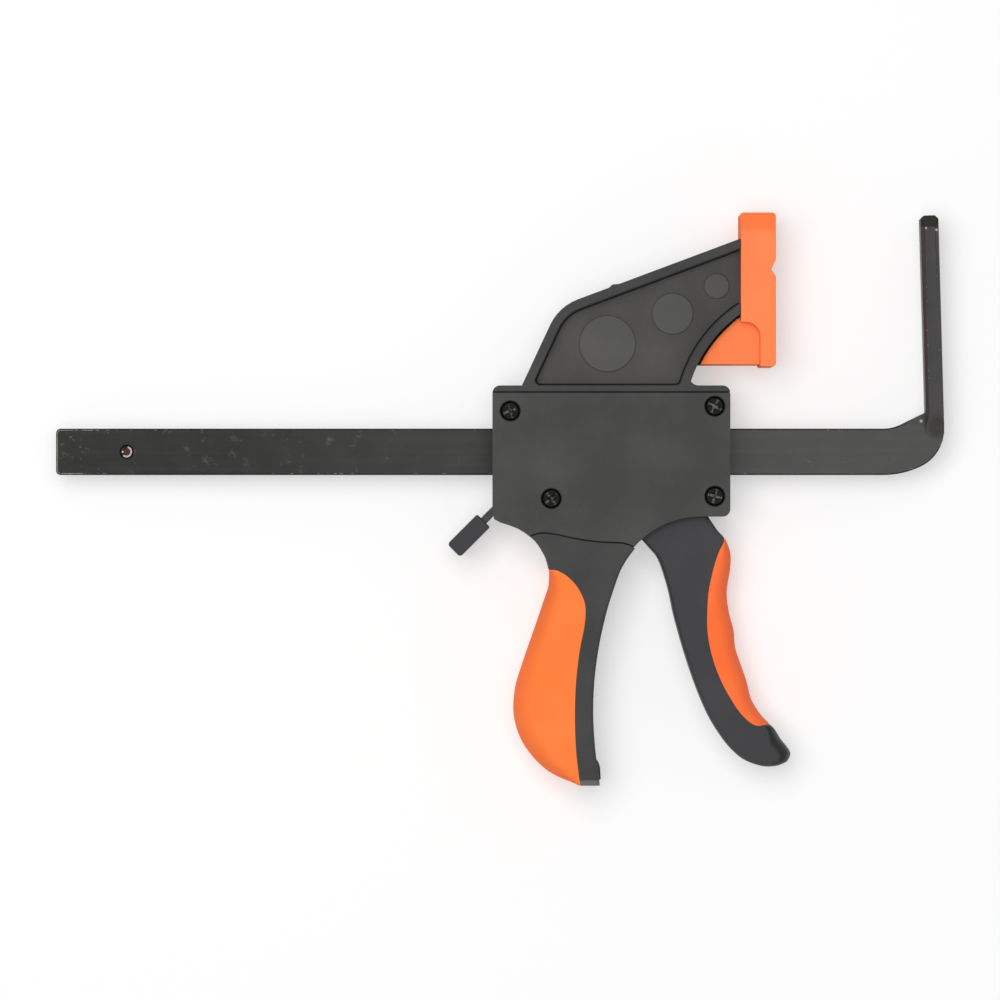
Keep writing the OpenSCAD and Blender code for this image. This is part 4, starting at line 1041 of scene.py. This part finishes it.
drive_coil = piece(
    "return_spring", coil_form(**DRIVE_SPRING), "housing", [PLATED_STEEL],
    ["drive_spring"],
)
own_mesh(drive_coil)
for name, node in (
    ("lever_spring_back", "brake_spring_back"),
    ("lever_spring_cover", "brake_spring_cover"),
):
    low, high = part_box(node)
    middle = (low + high) / 2 / MM
    start = (LEVER_SPRINGS_X, middle.y, middle.z)
    form = coil_form(start, (high.x - low.x) / MM, **LEVER_SPRINGS)
    coil = piece(name, form, "housing", [PLATED_STEEL], [node])
    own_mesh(coil)

# Stage, in metres and watts: a sheet of paper, a plain studio, one soft box and the camera
FLOOR_HALF, FLOOR_DROP = 20.0, 0.1 * MM
PAPER_GLOW, STUDIO_FILL = 0.435, 0.33
MIDDLE = Vector((-38.2 * MM, -16.6 * MM, MID_Z * MM))
LAMP_SIZE, LAMP_POWER, LAMP_AWAY = 1.05, 21.0, Vector((-0.2, 0.17, 1.6))
CAMERA_HEIGHT, SEEN_WIDTH = 2.3, 0.345


def seen_white(tree):
    """One where the camera looks, straight, mirrored or through glass; nought for other light."""
    light = add(tree, "LightPath")
    mirrored = add(tree, "Math", {"operation": "MAXIMUM"}, {
        0: light.outputs["Is Camera Ray"], 1: light.outputs["Is Glossy Ray"],
    })
    return add(tree, "Math", {"operation": "MAXIMUM"}, {
        0: mirrored.outputs[0], 1: light.outputs["Is Transmission Ray"],
    }).outputs[0]


floor_mesh = bpy.data.meshes.new("floor")
corners = [(x * FLOOR_HALF, y * FLOOR_HALF, 0) for x, y in ((-1, -1), (1, -1), (1, 1), (-1, 1))]
floor_mesh.from_pydata(corners, [], [(0, 1, 2, 3)])
floor = bpy.data.objects.new("floor", floor_mesh)
floor.location.z = -FLOOR_DROP
bpy.context.scene.collection.objects.link(floor)
# White paper: a matt sheet, lifted to plain white where no shadow falls
paper = bpy.data.materials.new("white_paper_sheet")
paper.use_nodes = True
tree = paper.node_tree
tree.nodes.remove(tree.nodes["Principled BSDF"])
sheet = add(tree, "BsdfDiffuse", None, {"Color": linear("c5c5c5")})
glow = add(tree, "Emission", None, {"Color": (1, 1, 1, 1), "Strength": PAPER_GLOW})
both = add(tree, "AddShader", None, {0: sheet.outputs[0], 1: glow.outputs[0]})
tree.links.new(both.outputs[0], tree.nodes["Material Output"].inputs["Surface"])
floor_mesh.materials.append(paper)

world = bpy.data.worlds.new("plain_studio")
bpy.context.scene.world = world
world.use_nodes = True
tree = world.node_tree
sky = tree.nodes["Background"]
level = add(tree, "MapRange", None, {
    "Value": seen_white(tree), "To Min": STUDIO_FILL, "To Max": 1.0,
})
sky.inputs["Color"].default_value = (1, 1, 1, 1)
tree.links.new(level.outputs["Result"], sky.inputs["Strength"])

key = bpy.data.lights.new("soft_box", "AREA")
key.shape = "SQUARE"
key.size = LAMP_SIZE
key.energy = LAMP_POWER
lamp = bpy.data.objects.new("soft_box", key)
lamp.location = MIDDLE + LAMP_AWAY
lamp.visible_glossy = False
lamp.rotation_euler = (MIDDLE - lamp.location).to_track_quat("-Z", "Y").to_euler()
bpy.context.scene.collection.objects.link(lamp)

# Straight down from far off; the clamp takes up nine tenths of the frame's width
lens = bpy.data.cameras.new("camera")
lens.sensor_width = 36.0
lens.lens = lens.sensor_width * CAMERA_HEIGHT / SEEN_WIDTH
lens.clip_end = 100.0
camera = bpy.data.objects.new("camera", lens)
camera.location = MIDDLE + Vector((0, 0, CAMERA_HEIGHT))
bpy.context.scene.collection.objects.link(camera)
bpy.context.scene.camera = camera
bpy.context.scene.view_settings.view_transform = "Standard"
